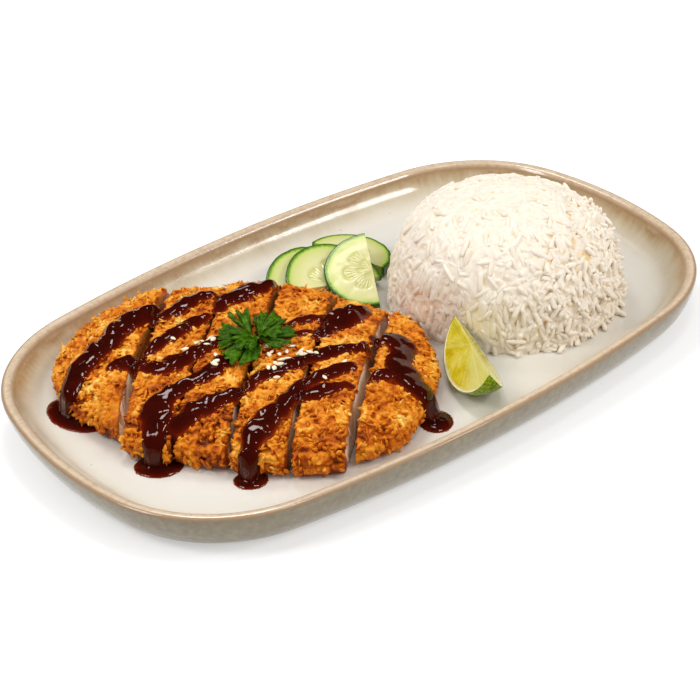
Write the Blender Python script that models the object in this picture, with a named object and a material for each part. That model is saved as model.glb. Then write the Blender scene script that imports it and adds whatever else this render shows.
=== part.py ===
"""A plated chicken katsu meal: a sliced cutlet, moulded rice, cucumber, lime and parsley on a stoneware plate.

Metres, +Z up. The origin is the middle of the plate's foot, on the surface that the plate stands on,
and +X runs along the plate's length. The cutlet lies at a slant on the left half, its cuts parallel.
"""

import math

import bmesh
import bpy
from mathutils import Matrix, Vector, noise

MM = 0.001
REST_GAP = 0.3 * MM

# Plate: an oblong of tangent arcs. Angles are those of the outline's normal, from +X.
PLATE_HALF_LENGTH = 175 * MM
PLATE_HALF_WIDTH = 110.5 * MM
CORNER_RADIUS = 74.5 * MM
END_ARC_ANGLE = math.radians(12.0)
SIDE_ARC_ANGLE = math.radians(80.5)
ARC_STEPS = {"end": 4, "corner": 13, "side": 4}
RIM_HEIGHT = 22 * MM
RIM_DROP = 1.4 * MM
WALL_INSET = 12.7 * MM
WALL_ROUNDNESS = 1.52
FLOOR_HEIGHT = 9 * MM
FLOOR_INSET = 19 * MM
FOOT_WIDTH = 5 * MM
FOOT_SLOPE = 1.5 * MM
FOOT_RECESS = 2.2 * MM
OUTER_WALL_STEPS = 7
INNER_WALL_STEPS = 6
INNER_WALL_HOLLOW = 2.1
# The lip's points: inset from the outline and rise above the rim's height, in mm.
LIP = ((0.45, -0.45), (1.5, 0.0), (3.6, -0.05), (5.0, -0.7))

# Cutlet: its cuts run along a line turned from +X, and "across" is at right angles to them.
CUT_ANGLE = math.radians(43.0)
CUTLET_THICKNESS = 20.5 * MM
CUTLET_EDGE_ROUND = 33 * MM
CUTLET_UNDERCUT = 3 * MM
CUTLET_SIDE_HEIGHT = 6.5 * MM
CUTLET_END_THINNING = 0.13
# The thinning grows from this place along "across", and is full at this distance from it.
CUTLET_MIDDLE_ACROSS = -46 * MM
CUTLET_HALF_SPAN = 93 * MM
CUTLET_SWELL = 0.05
CUTLET_SWELL_WAVES_PER_M = 28
# How far each ring of the cutlet's upper side has shrunk towards the middle.
CUTLET_RINGS = (0.02, 0.055, 0.11, 0.18, 0.27, 0.4, 0.55, 0.72, 0.88)
# Outline in millimetres as (across, along) from the plate's centre, anticlockwise from the round left end.
CUTLET_OUTLINE = (
    (-139, -47), (-130.5, -70), (-111.5, -90.5), (-87, -105.5), (-55, -113), (-20, -114), (11, -108),
    (29.5, -97), (37.5, -79), (41.5, -59), (39.5, -33), (30, -11), (14, 5), (-14, 15.5), (-43, 22),
    (-72, 22), (-100, 17), (-120, 3), (-135, -20),
)
# Each cut: where it crosses the line "along = -50 mm", its small extra turn, its width at the base, and
# how far the slice on its left leans back from upright, which opens the cut towards the top.
CUTS = (
    (-94.4 * MM, math.radians(1.6), 2.2 * MM, math.radians(9)),
    (-67.9 * MM, math.radians(0.5), 1.7 * MM, math.radians(1)),
    (-40.9 * MM, math.radians(0.1), 1.9 * MM, math.radians(3)),
    (-13.2 * MM, math.radians(-0.6), 2.0 * MM, math.radians(2)),
    (13.6 * MM, math.radians(-1.5), 3.2 * MM, math.radians(3.5)),
)
CUT_ORIGIN_ALONG = -50 * MM
# Slices, left to right: (slide along the cut in mm, change of thickness as a factor).
SLICE_TWEAKS = ((1.5, 0.95), (-1.0, 0.98), (1.5, 1.0), (0.0, 1.0), (-1.5, 0.99), (2.5, 0.96))

# Rice: a bowl-moulded heap, a little spread at the foot on the side of the cucumber.
RICE_AROUND = 40
RICE_LEVELS = 13
RICE_CENTRE = (79 * MM, -20.5 * MM)
RICE_RADIUS = 56.5 * MM
RICE_HEIGHT = 55.5 * MM
RICE_LEAN = (-3.6 * MM, 1.3 * MM)
RICE_SIDE_POWER = 0.65
RICE_TOP_POWER = 0.70
RICE_SPREAD = 4.5 * MM
RICE_SPREAD_ANGLE = math.radians(141)
RICE_SPREAD_HALF_WIDTH = 0.55
RICE_SPREAD_TOP = 0.5
RICE_UNEVENNESS = 1.3 * MM
RICE_WAVES_AROUND = 2.2
RICE_WAVES_PER_M = 88

# Cucumber half-slices: centre of the upper face's straight edge in mm, the face's lean and the way
# that it leans in degrees, direction of the straight edge in degrees, radius and thickness in mm.
CUCUMBERS = (
    ((10.9, 52.1, 15.1), 16.0, 268.4, 331.5, 24.7, 3.0),
    ((17.2, 44.1, 18.3), 13.5, 265.4, 339.9, 25.0, 3.0),
    ((32.3, 29.7, 22.3), 18.5, 228.3, 58.7, 24.8, 3.0),
    ((37.8, 57.2, 16.4), 5.5, 333.2, 287.4, 22.8, 5.0),
)
CUCUMBER_STEPS = 26

# Lime: a wedge of a long round fruit, lying on its peel with the core edge uppermost.
LIME_RIDGE_CENTRE = (13.4 * MM, -68 * MM, 30.9 * MM)
LIME_RIDGE_ANGLE = math.radians(66)
LIME_LENGTH = 53.5 * MM
LIME_RADIUS = 21.4 * MM
LIME_HALF_WEDGE = math.radians(33)
LIME_TIP_POWER = 0.9
LIME_STEPS = 16
LIME_SPANS = 6

# Parsley: one sprig of three frilly leaves, lying over the third and fourth slices.
PARSLEY_CENTRE = (-58.3 * MM, 2.4 * MM)
PARSLEY_CLEARANCE = 1.2 * MM
PARSLEY_THICKNESS = 0.9 * MM
# Each leaf: its direction, its half-width as an angle, its length, all seen from above.
PARSLEY_LEAVES = ((4, 60, 20.0), (84, 27, 22.0), (168, 54, 20.0))
PARSLEY_TEETH = 34
PARSLEY_TOOTH_DEPTH = 0.12
PARSLEY_LEAF_POWER = 2.6
PARSLEY_STALK = 2.2 * MM
PARSLEY_TIP_RISE = 1.5 * MM
PARSLEY_TIP_REACH = 20 * MM
PARSLEY_AROUND = 204

# Sauce that has run down on to the plate: (centre x, centre y, length, width, angle) in mm and degrees.
PUDDLES = (
    (-137.5, 42.0, 36, 23, 98),
    (-131.5, -21.5, 25, 17, 126),
    (-107.5, -57.5, 18, 14, 144),
    (-21.0, -79.5, 22, 17, 25),
)
PUDDLE_THICKNESS = 1.8 * MM
PUDDLE_CLEARANCE = 1.0 * MM
PUDDLE_AROUND = 28
# Each ring of a pool: its size as a share of the outline, and its height as a share of the thickness.
PUDDLE_RINGS = ((0.97, 0.0), (1.0, 0.35), (0.93, 0.75), (0.75, 0.95))

COLOURS = {
    "plate": ((0.78, 0.74, 0.66), 0.25),
    "katsu": ((0.72, 0.36, 0.10), 0.75),
    "rice": ((0.86, 0.83, 0.76), 0.60),
    "cucumber": ((0.62, 0.70, 0.30), 0.35),
    "lime": ((0.66, 0.68, 0.14), 0.35),
    "parsley": ((0.06, 0.22, 0.03), 0.50),
    "sauce": ((0.07, 0.012, 0.006), 0.12),
}


def clear_scene():
    """Removes whatever objects the new file starts with."""
    for obj in list(bpy.data.objects):
        bpy.data.objects.remove(obj, do_unlink=True)


def material(name):
    """The shared material of one kind of food, or of the plate."""
    if name in bpy.data.materials:
        return bpy.data.materials[name]
    colour, roughness = COLOURS[name]
    mat = bpy.data.materials.new(name)
    mat.use_nodes = True
    shader = mat.node_tree.nodes["Principled BSDF"]
    shader.inputs["Base Color"].default_value = (*colour, 1.0)
    shader.inputs["Roughness"].default_value = roughness
    shader.inputs["Metallic"].default_value = 0.0
    return mat


def add_object(name, bm, material_name, sharp_angle=40):
    """Turns a bmesh into a named object with outward faces."""
    bmesh.ops.recalc_face_normals(bm, faces=bm.faces)
    mesh = bpy.data.meshes.new(name)
    bm.to_mesh(mesh)
    bm.free()
    mesh.shade_smooth()
    mesh.set_sharp_from_angle(angle=math.radians(sharp_angle))
    obj = bpy.data.objects.new(name, mesh)
    obj.data.materials.append(material(material_name))
    bpy.context.scene.collection.objects.link(obj)
    return obj


def loft(rings, first_point=None, last_point=None):
    """Joins closed rings of equally many points. Each end is a fan round a point, or one flat face."""
    bm = bmesh.new()
    loops = [[bm.verts.new(point) for point in ring] for ring in rings]
    count = len(rings[0])
    for low, high in zip(loops, loops[1:]):
        for i in range(count):
            j = (i + 1) % count
            bm.faces.new((low[i], low[j], high[j], high[i]))
    for loop, point in ((loops[0], first_point), (loops[-1], last_point)):
        if point is None:
            bm.faces.new(loop)
            continue
        middle = bm.verts.new(point)
        for i in range(count):
            bm.faces.new((loop[i], loop[(i + 1) % count], middle))
    return bm


# ---------------------------------------------------------------- plate


def plate_arc_radii():
    """The end and side arcs' radii, for which the quarter outline spans the plate's two half sizes."""
    end, side, corner = END_ARC_ANGLE, SIDE_ARC_ANGLE, CORNER_RADIUS
    span_x = PLATE_HALF_LENGTH - corner * (math.cos(end) - math.cos(side))
    span_y = PLATE_HALF_WIDTH - corner * (math.sin(side) - math.sin(end))
    a, b = 1 - math.cos(end), math.cos(side)
    c, d = math.sin(end), 1 - math.sin(side)
    determinant = a * d - b * c
    return (span_x * d - b * span_y) / determinant, (a * span_y - c * span_x) / determinant


def plate_quarter():
    """Points of the outline's first quarter, each with the angle of its normal, from +X to just before +Y."""
    end_radius, side_radius = plate_arc_radii()
    arcs = (
        (0.0, END_ARC_ANGLE, end_radius, ARC_STEPS["end"]),
        (END_ARC_ANGLE, SIDE_ARC_ANGLE, CORNER_RADIUS, ARC_STEPS["corner"]),
        (SIDE_ARC_ANGLE, math.pi / 2, side_radius, ARC_STEPS["side"]),
    )
    x, y = PLATE_HALF_LENGTH, 0.0
    points = []
    for start, stop, radius, steps in arcs:
        for i in range(steps):
            angle = start + (stop - start) * i / steps
            px = x + radius * (math.cos(angle) - math.cos(start))
            py = y + radius * (math.sin(angle) - math.sin(start))
            points.append((px, py, angle))
        x += radius * (math.cos(stop) - math.cos(start))
        y += radius * (math.sin(stop) - math.sin(start))
    points.append((x, y, math.pi / 2))
    return points


def plate_outline():
    """The whole outline, anticlockwise, from its quarter mirrored in both axes."""
    quarter = plate_quarter()
    left = [(-x, y, math.pi - angle) for x, y, angle in reversed(quarter[:-1])]
    upper = quarter + left
    lower = [(-x, -y, angle + math.pi) for x, y, angle in upper[1:-1]]
    return upper + lower


def plate_profile():
    """(inset from the outline, height) from the foot's inner edge, up the outer wall, to the floor."""
    foot_inset = WALL_INSET + FOOT_WIDTH
    profile = [(foot_inset + FOOT_SLOPE, FOOT_RECESS), (foot_inset, 0.0)]
    for i in range(OUTER_WALL_STEPS, -1, -1):
        angle = i / OUTER_WALL_STEPS * math.pi / 2
        inset = WALL_INSET * (1 - max(math.cos(angle), 0.0) ** (2 / WALL_ROUNDNESS))
        height = (RIM_HEIGHT - RIM_DROP) * (1 - math.sin(angle) ** (2 / WALL_ROUNDNESS))
        profile.append((inset, height))
    profile += [(inset * MM, RIM_HEIGHT + rise * MM) for inset, rise in LIP]
    wall_inset, wall_top = profile[-1]
    for i in range(1, INNER_WALL_STEPS + 1):
        t = i / INNER_WALL_STEPS
        inset = wall_inset + (FLOOR_INSET - wall_inset) * t
        height = FLOOR_HEIGHT + (wall_top - FLOOR_HEIGHT) * (1 - t) ** INNER_WALL_HOLLOW
        profile.append((inset, height))
    return profile


def build_plate():
    """The plate as one solid: the profile swept round the outline."""
    outline = plate_outline()

    def ring(inset, height):
        return [
            (x - inset * math.cos(angle), y - inset * math.sin(angle), height) for x, y, angle in outline
        ]

    bm = loft([ring(inset, height) for inset, height in plate_profile()])
    return add_object("plate", bm, "plate")


# ---------------------------------------------------------------- cutlet


def closed_spline(points, steps):
    """A closed Catmull-Rom curve through the points."""
    count = len(points)
    curve = []
    for i in range(count):
        p0, p1, p2, p3 = (Vector(points[(i + k) % count]) for k in (-1, 0, 1, 2))
        for j in range(steps):
            t = j / steps
            curve.append(
                0.5 * (2 * p1 + (p2 - p0) * t + (2 * p0 - 5 * p1 + 4 * p2 - p3) * t * t
                       + (3 * p1 - p0 - 3 * p2 + p3) * t ** 3)
            )
    return curve


def cutlet_to_world(across, along):
    """Turns (across, along) into the plate's X and Y."""
    x = across * math.sin(CUT_ANGLE) + along * math.cos(CUT_ANGLE)
    y = -across * math.cos(CUT_ANGLE) + along * math.sin(CUT_ANGLE)
    return Vector((x, y))


def world_to_cutlet(point):
    """The reverse of cutlet_to_world."""
    across = point.x * math.sin(CUT_ANGLE) - point.y * math.cos(CUT_ANGLE)
    along = point.x * math.cos(CUT_ANGLE) + point.y * math.sin(CUT_ANGLE)
    return across, along


def cutlet_outline():
    """The cutlet's outline seen from above, as points of the plate's X and Y."""
    curve = closed_spline([Vector(p) * MM for p in CUTLET_OUTLINE], 4)
    return [cutlet_to_world(*point) for point in curve]


def nearest_on_outline(point, outline):
    """The closed outline's point nearest to a point."""
    best, nearest = math.inf, None
    for a, b in zip(outline, outline[1:] + outline[:1]):
        side = b - a
        t = max(0.0, min(1.0, (point - a).dot(side) / side.length_squared))
        distance = (point - (a + side * t)).length
        if distance < best:
            best, nearest = distance, a + side * t
    return nearest


def edge_distance(point, outline):
    """How far a point lies from the closed outline."""
    return (point - nearest_on_outline(point, outline)).length


def is_inside(point, outline):
    """Whether a point lies within the closed outline."""
    inside = False
    for a, b in zip(outline, outline[1:] + outline[:1]):
        if (a.y > point.y) != (b.y > point.y):
            crossing = a.x + (point.y - a.y) / (b.y - a.y) * (b.x - a.x)
            if point.x < crossing:
                inside = not inside
    return inside


def cutlet_top(point, outline):
    """Height of the cutlet's upper side above its base: round at the edge, thinner at both ends."""
    edge = edge_distance(point, outline)
    across, _ = world_to_cutlet(point)
    thinning = 1 - CUTLET_END_THINNING * ((across - CUTLET_MIDDLE_ACROSS) / CUTLET_HALF_SPAN) ** 2
    waves = noise.noise(Vector((point.x, point.y, MM * 20)) * CUTLET_SWELL_WAVES_PER_M)
    swell = 1 + CUTLET_SWELL * waves
    rounding = math.sqrt(max(0.0, 1 - (1 - min(edge / CUTLET_EDGE_ROUND, 1.0)) ** 2))
    top = CUTLET_THICKNESS * thinning * swell
    return CUTLET_SIDE_HEIGHT + (top - CUTLET_SIDE_HEIGHT) * rounding


def whole_cutlet():
    """The uncut cutlet as one closed mesh, its rings shrinking towards the middle."""
    outline = cutlet_outline()
    middle = sum(outline, Vector((0.0, 0.0))) / len(outline)
    base = FLOOR_HEIGHT + REST_GAP
    foot = [p + (middle - p).normalized() * CUTLET_UNDERCUT for p in outline]
    rings = []
    for outward, rise in ((0.0, 0.0), (0.75, 0.45), (1.0, 1.0)):
        ring = [low.lerp(high, outward) for low, high in zip(foot, outline)]
        rings.append([(p.x, p.y, base + CUTLET_SIDE_HEIGHT * rise) for p in ring])
    for shrink in CUTLET_RINGS:
        ring = [p.lerp(middle, shrink) for p in outline]
        rings.append([(p.x, p.y, base + cutlet_top(p, outline)) for p in ring])
    peak = (middle.x, middle.y, base + cutlet_top(middle, outline))
    return loft(rings, None, peak)


def cut_plane(cut, side):
    """A point on a cut's left (-1) or right (1) face, and the way out of the slice that ends there."""
    across, turn, width, lean = cut
    angle = CUT_ANGLE + turn
    normal = Vector((math.sin(angle), -math.cos(angle), 0.0))
    point = cutlet_to_world(across, CUT_ORIGIN_ALONG).to_3d() + normal * side * width / 2
    point.z = FLOOR_HEIGHT
    if side > 0:
        return point, -normal
    return point, normal * math.cos(lean) + Vector((0.0, 0.0, math.sin(lean)))


def build_slice(index):
    """One slice: the cutlet between two cuts, slid along them and a little thinner or thicker."""
    bm = whole_cutlet()
    planes = []
    if index > 0:
        planes.append(cut_plane(CUTS[index - 1], 1))
    if index < len(CUTS):
        planes.append(cut_plane(CUTS[index], -1))
    for point, outward in planes:
        everything = bm.verts[:] + bm.edges[:] + bm.faces[:]
        bmesh.ops.bisect_plane(
            bm, geom=everything, plane_co=point, plane_no=outward, clear_outer=True, dist=1e-6
        )
        rim = [edge for edge in bm.edges if edge.is_boundary]
        bmesh.ops.contextual_create(bm, geom=rim)
    slide, factor = SLICE_TWEAKS[index]
    base = FLOOR_HEIGHT + REST_GAP
    along = Vector((math.cos(CUT_ANGLE), math.sin(CUT_ANGLE), 0.0)) * slide * MM
    for vert in bm.verts:
        vert.co.z = base + (vert.co.z - base) * factor
        vert.co += along
    return add_object(f"katsu_slice_{index + 1}", bm, "katsu")


# ---------------------------------------------------------------- rice


def rice_spread(angle, height):
    """How far the foot of the heap has slid outwards."""
    turn = math.remainder(angle - RICE_SPREAD_ANGLE, 2 * math.pi)
    fade = max(0.0, 1 - height / (RICE_SPREAD_TOP * RICE_HEIGHT))
    return RICE_SPREAD * math.exp(-(turn / RICE_SPREAD_HALF_WIDTH) ** 2) * fade


def build_rice():
    """The heap as one solid: steep-sided rings under a shallow dome, leaning a little."""
    centre = Vector((*RICE_CENTRE, FLOOR_HEIGHT + REST_GAP))
    rings = []
    for level in range(RICE_LEVELS):
        rise = level / RICE_LEVELS * math.pi / 2
        radius = RICE_RADIUS * math.cos(rise) ** RICE_SIDE_POWER
        height = RICE_HEIGHT * math.sin(rise) ** RICE_TOP_POWER
        lean = Vector((*RICE_LEAN, 0.0)) * (height / RICE_HEIGHT)
        ring = []
        for i in range(RICE_AROUND):
            angle = 2 * math.pi * i / RICE_AROUND
            direction = Vector((math.cos(angle), math.sin(angle), 0.0))
            waves = direction * RICE_WAVES_AROUND + Vector((0.0, 0.0, height * RICE_WAVES_PER_M))
            reach = radius + rice_spread(angle, height) + RICE_UNEVENNESS * noise.noise(waves)
            ring.append(centre + lean + direction * reach + Vector((0.0, 0.0, height)))
        rings.append(ring)
    peak = centre + Vector((*RICE_LEAN, RICE_HEIGHT))
    return add_object("rice_mound", loft(rings, None, peak), "rice", sharp_angle=60)


# ---------------------------------------------------------------- cucumber


def leaning_frame(centre, lean, lean_way, edge_way):
    """A matrix whose X runs along the straight edge and whose Z is the leaning face's normal."""
    lean, lean_way, edge_way = (math.radians(v) for v in (lean, lean_way, edge_way))
    leaning = Vector((math.cos(lean_way), math.sin(lean_way), 0.0)) * math.sin(lean)
    normal = leaning + Vector((0.0, 0.0, math.cos(lean)))
    edge = Vector((math.cos(edge_way), math.sin(edge_way), 0.0))
    edge = (edge - normal * edge.dot(normal)).normalized()
    side = normal.cross(edge)
    turn = Matrix((edge, side, normal)).transposed().to_4x4()
    return Matrix.Translation(Vector(centre) * MM) @ turn


def build_cucumber(index):
    """A half-round slice, its upper face in the leaning frame's XY plane."""
    centre, lean, lean_way, edge_way, radius, thickness = CUCUMBERS[index]
    arc = [math.pi * i / CUCUMBER_STEPS for i in range(CUCUMBER_STEPS + 1)]
    outline = [(radius * MM * math.cos(a), radius * MM * math.sin(a)) for a in arc]
    bm = loft([[(x, y, z * MM) for x, y in outline] for z in (-thickness, 0.0)])
    obj = add_object(f"cucumber_slice_{index + 1}", bm, "cucumber")
    obj.matrix_world = leaning_frame(centre, lean, lean_way, edge_way)
    return obj


# ---------------------------------------------------------------- lime


def build_lime():
    """The wedge: half-round cut faces that share the core edge, and the peel between them."""
    bm = bmesh.new()
    tips = [bm.verts.new((side * LIME_LENGTH / 2, 0.0, 0.0)) for side in (1, -1)]
    arcs = []
    for j in range(LIME_SPANS + 1):
        turn = LIME_HALF_WEDGE * (2 * j / LIME_SPANS - 1)
        outward = Vector((0.0, math.sin(turn), -math.cos(turn)))
        arc = []
        for i in range(1, LIME_STEPS):
            angle = math.pi * i / LIME_STEPS
            reach = LIME_RADIUS * math.sin(angle) ** LIME_TIP_POWER
            place = Vector((LIME_LENGTH / 2 * math.cos(angle), 0.0, 0.0))
            arc.append(bm.verts.new(place + outward * reach))
        arcs.append(arc)
    for low, high in zip(arcs, arcs[1:]):
        for i in range(LIME_STEPS - 2):
            bm.faces.new((low[i], low[i + 1], high[i + 1], high[i]))
        bm.faces.new((low[0], high[0], tips[0]))
        bm.faces.new((low[-1], high[-1], tips[1]))
    for cut_arc in (arcs[0], arcs[-1]):
        bm.faces.new([tips[0], *cut_arc, tips[1]])
    obj = add_object("lime_wedge", bm, "lime", sharp_angle=30)
    obj.location = LIME_RIDGE_CENTRE
    obj.rotation_euler = (0.0, 0.0, LIME_RIDGE_ANGLE)
    return obj


# ---------------------------------------------------------------- parsley


def parsley_reach(angle):
    """How far the sprig reaches in one direction: three toothed leaves, joined at the stalk."""
    reach = PARSLEY_STALK
    for direction, half_width, length in PARSLEY_LEAVES:
        turn = math.remainder(angle - math.radians(direction), 2 * math.pi) / math.radians(half_width)
        if abs(turn) < 1:
            leaf = length * MM * (1 - abs(turn) ** PARSLEY_LEAF_POWER)
            reach = max(reach, leaf * (1 - PARSLEY_TOOTH_DEPTH * math.cos(angle * PARSLEY_TEETH)))
    return reach


def build_parsley():
    """A thin frilly plate just above the slices, its leaf tips lifted a little."""
    centre = Vector(PARSLEY_CENTRE)
    top = FLOOR_HEIGHT + REST_GAP + cutlet_top(centre, cutlet_outline()) + PARSLEY_CLEARANCE
    rings = []
    for level in (0.0, PARSLEY_THICKNESS):
        ring = []
        for i in range(PARSLEY_AROUND):
            angle = 2 * math.pi * i / PARSLEY_AROUND
            reach = parsley_reach(angle)
            rise = PARSLEY_TIP_RISE * (1 - math.cos(reach / PARSLEY_TIP_REACH * math.pi / 2))
            x = centre.x + reach * math.cos(angle)
            y = centre.y + reach * math.sin(angle)
            ring.append((x, y, top + rise + level))
        rings.append(ring)
    lower = (centre.x, centre.y, top)
    upper = (centre.x, centre.y, top + PARSLEY_THICKNESS)
    return add_object("parsley_sprig", loft(rings, lower, upper), "parsley")


# ---------------------------------------------------------------- sauce on the plate


def puddle_rim(x, y, length, width, angle):
    """The pool's outline, an ellipse whose points are moved off the cutlet where they meet it."""
    outline = cutlet_outline()
    turn = math.radians(angle)
    rim = []
    for i in range(PUDDLE_AROUND):
        way = 2 * math.pi * i / PUDDLE_AROUND
        stretch = math.hypot(length * math.sin(way), width * math.cos(way))
        reach = 0.5 * MM * length * width / stretch
        point = Vector((x, y)) * MM + Vector((math.cos(way + turn), math.sin(way + turn))) * reach
        nearest = nearest_on_outline(point, outline)
        outward = (point - nearest).normalized()
        if is_inside(point, outline):
            point = nearest - outward * PUDDLE_CLEARANCE
        elif (point - nearest).length < PUDDLE_CLEARANCE:
            point = nearest + outward * PUDDLE_CLEARANCE
        rim.append(point)
    return rim


def build_puddle(index):
    """A shallow pool with a round edge."""
    rim = puddle_rim(*PUDDLES[index])
    centre = sum(rim, Vector((0.0, 0.0))) / len(rim)
    base = FLOOR_HEIGHT + REST_GAP
    rings = []
    for scale, level in PUDDLE_RINGS:
        ring = [centre.lerp(point, scale) for point in rim]
        rings.append([(p.x, p.y, base + level * PUDDLE_THICKNESS) for p in ring])
    peak = (centre.x, centre.y, base + PUDDLE_THICKNESS)
    return add_object(f"sauce_puddle_{index + 1}", loft(rings, None, peak), "sauce")


def main():
    clear_scene()
    build_plate()
    for index in range(len(CUTS) + 1):
        build_slice(index)
    build_rice()
    for index in range(len(CUCUMBERS)):
        build_cucumber(index)
    build_lime()
    build_parsley()
    for index in range(len(PUDDLES)):
        build_puddle(index)


main()
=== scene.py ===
"""Looks for the chicken katsu plate.

Metres, +Z up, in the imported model's frame. The plate and the food are rebuilt in finer detail than in the
CAD: a crumbed cutlet, grains of rice, poured sauce, seeds, frilly leaves and cut fruit.
"""

import functools
import itertools
import math

import bmesh
import bpy
import numpy as np
from mathutils import Matrix, Vector
from mathutils.bvhtree import BVHTree
from mathutils.kdtree import KDTree


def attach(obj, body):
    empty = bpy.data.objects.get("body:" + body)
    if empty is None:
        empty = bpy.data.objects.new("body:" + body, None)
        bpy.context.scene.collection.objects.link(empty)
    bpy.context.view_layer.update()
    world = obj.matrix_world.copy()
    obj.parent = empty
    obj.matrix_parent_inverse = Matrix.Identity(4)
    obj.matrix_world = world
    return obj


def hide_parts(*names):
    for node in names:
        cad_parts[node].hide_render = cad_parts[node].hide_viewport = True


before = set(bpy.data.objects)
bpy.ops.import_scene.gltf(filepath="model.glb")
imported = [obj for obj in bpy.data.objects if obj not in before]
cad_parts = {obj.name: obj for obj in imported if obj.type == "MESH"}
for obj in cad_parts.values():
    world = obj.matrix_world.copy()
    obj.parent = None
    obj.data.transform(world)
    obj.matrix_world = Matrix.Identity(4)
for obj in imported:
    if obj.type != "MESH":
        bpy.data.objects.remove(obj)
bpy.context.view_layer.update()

MM = 0.001

# Camera
CAMERA_TARGET = Vector((-2.6, 5.6, 0.0)) * MM
CAMERA_AZIMUTH = math.radians(-36.1)
CAMERA_ELEVATION = math.radians(32.8)
CAMERA_DISTANCE = 953.7 * MM
CAMERA_ROLL = math.radians(-4.0)
CAMERA_LENS = 99.6

# Plate, as in the CAD
PLATE_HALF_LENGTH = 175 * MM
PLATE_HALF_WIDTH = 110.5 * MM
CORNER_RADIUS = 74.5 * MM
END_ARC_ANGLE = math.radians(12.0)
SIDE_ARC_ANGLE = math.radians(80.5)
RIM_HEIGHT = 22 * MM
RIM_DROP = 1.4 * MM
WALL_INSET = 12.7 * MM
WALL_ROUNDNESS = 1.52
FLOOR_HEIGHT = 9 * MM
FLOOR_INSET = 19 * MM
FOOT_WIDTH = 5 * MM
FOOT_SLOPE = 1.5 * MM
FOOT_RECESS = 2.2 * MM
INNER_WALL_HOLLOW = 2.1
# The rounded lip: (distance in from the outline, rise over the rim's height), in mm.
LIP = (
    (0.1, -0.9), (0.45, -0.45), (0.95, -0.12), (1.5, 0.0),
    (2.6, 0.05), (3.6, -0.05), (4.4, -0.3), (5.0, -0.7),
)
# The glaze's unevenness: how long its waves are and how high.
WAVE_LENGTH = 46 * MM
WAVE_HEIGHT = 0.22 * MM
# Steps along a quarter of the outline (end, corner, side), up the outer wall and down the inner one.
OUTLINE_STEPS = (10, 34, 12)
OUTER_WALL_STEPS = 16
INNER_WALL_STEPS = 14
# Distances in from the outline, in mm, at which the flat floor has a ring of vertices. The recess under
# the plate has one at the last of them.
FLOOR_RINGS = (22, 27, 34, 45, 60)

# Cutlet: the slices lie along this direction, and across it they follow each other from left to right.
CUT_ANGLE = math.radians(43.0)
ACROSS = Vector((math.sin(CUT_ANGLE), -math.cos(CUT_ANGLE), 0.0))
ALONG = Vector((math.cos(CUT_ANGLE), math.sin(CUT_ANGLE), 0.0))
REST_HEIGHT = 9.3 * MM
# How far the crust is moved out past the CAD's, in mm: at its sides, and then more or, below zero, less
# at the far and the near end of single slices.
EDGE_GROWTH = 1.3
FAR_END_GROWTH = {1: 2.4, 2: 1.0, 3: 1.5, 4: 2.6, 5: 0.8, 6: 1.2}
NEAR_END_GROWTH = {1: -1.8, 2: 0.6, 3: 0.8, 4: 1.6, 5: 1.8}
# Cuts at which bare meat shows, by the number of the slice on their left: (first, last) place along the
# slice, 0 at its near end and 1 at its far end. Elsewhere crumbs lie up to the edges and the cut is brown.
BARE_CUTS = {1: (0.0, 0.42), 3: (0.0, 0.2), 4: (0.0, 0.3), 5: (0.02, 0.98)}
# How many crumbs are tried on a middle slice, to be fused into its crust or to lie on it as flakes, and
# the end slices' share of that.
FUSED_CRUMBS = 2650
LOOSE_FLAKES = 1150
END_SLICE_SHARE = 0.88
# Crumbs that are not grit: the random number from 0 to 1 above which they start, then the smallest and
# the largest half size along each of their axes, in mm.
CHUNKS = (0.30, ((1.3, 2.6), (0.9, 1.8), (0.5, 0.9)))
SHARDS = (0.76, ((2.2, 3.9), (1.0, 2.0), (0.38, 0.56)))
# How near a cut crumbs are moved, and how far at least and at most, in mm; below zero is back from it.
EDGE_ZONE = 1.7
EDGE_SHIFT = (-0.9, 0.7)
# A point lies on a cut if it is this near the CAD's cut face and this far inside the crust.
CUT_NEARNESS = 0.5 * MM
CUT_DEPTH = 0.35 * MM
# How deep the brown sheath round the meat reaches into a cut face, in mm.
SHEATH = 1.6
# Cell sizes of the skins round a slice's body and round its crust, and the share of triangles kept.
BODY_VOXEL = 1.0 * MM
CRUST_VOXEL = 0.55 * MM
CRUST_KEPT = 0.45
# How many shapes of crumbs there are, and how far in and out their corners are pushed.
CRUMB_KINDS = 9
CRUMB_CORNERS = (0.62, 1.25)
# Half the length of a slice, for its colour towards the ends.
HALF_SLICE = 55 * MM


# ---------------------------------------------------------------- numbers and noise


def lattice_values(cells, seed):
    """Repeatable values from 0 to 1 for whole-number lattice points."""
    x, y, z = (cells[:, i].astype(np.int64) for i in range(3))
    mixed = (x * 73856093) ^ (y * 19349663) ^ (z * 83492791) ^ (seed * 26544357)
    mixed = (mixed ^ (mixed >> 13)) * 1274126177
    mixed = mixed ^ (mixed >> 16)
    return (mixed & 0xFFFFFF) / float(0xFFFFFF)


def lumps(points, size, seed):
    """Smooth noise from -1 to 1 whose lumps are about `size` across."""
    scaled = np.asarray(points, float) / size + seed * 0.37
    cell = np.floor(scaled)
    part = scaled - cell
    part = part * part * (3 - 2 * part)
    total = np.zeros(len(scaled))
    for corner in itertools.product((0, 1), repeat=3):
        weight = np.prod(np.where(corner, part, 1 - part), axis=1)
        total += weight * lattice_values(cell + corner, seed)
    return total * 2 - 1


def layered(points, size, seed, layers):
    """Noise in several layers, each half the size of the one before."""
    total = np.zeros(len(points))
    for layer in range(layers):
        total += 0.5 ** layer * lumps(points, size / 2 ** layer, seed + 17 * layer)
    return total


def smoothstep(low, high, values):
    t = np.clip((values - low) / (high - low), 0.0, 1.0)
    return t * t * (3 - 2 * t)


def unit_rows(vectors):
    return vectors / np.linalg.norm(vectors, axis=1)[:, None]


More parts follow.
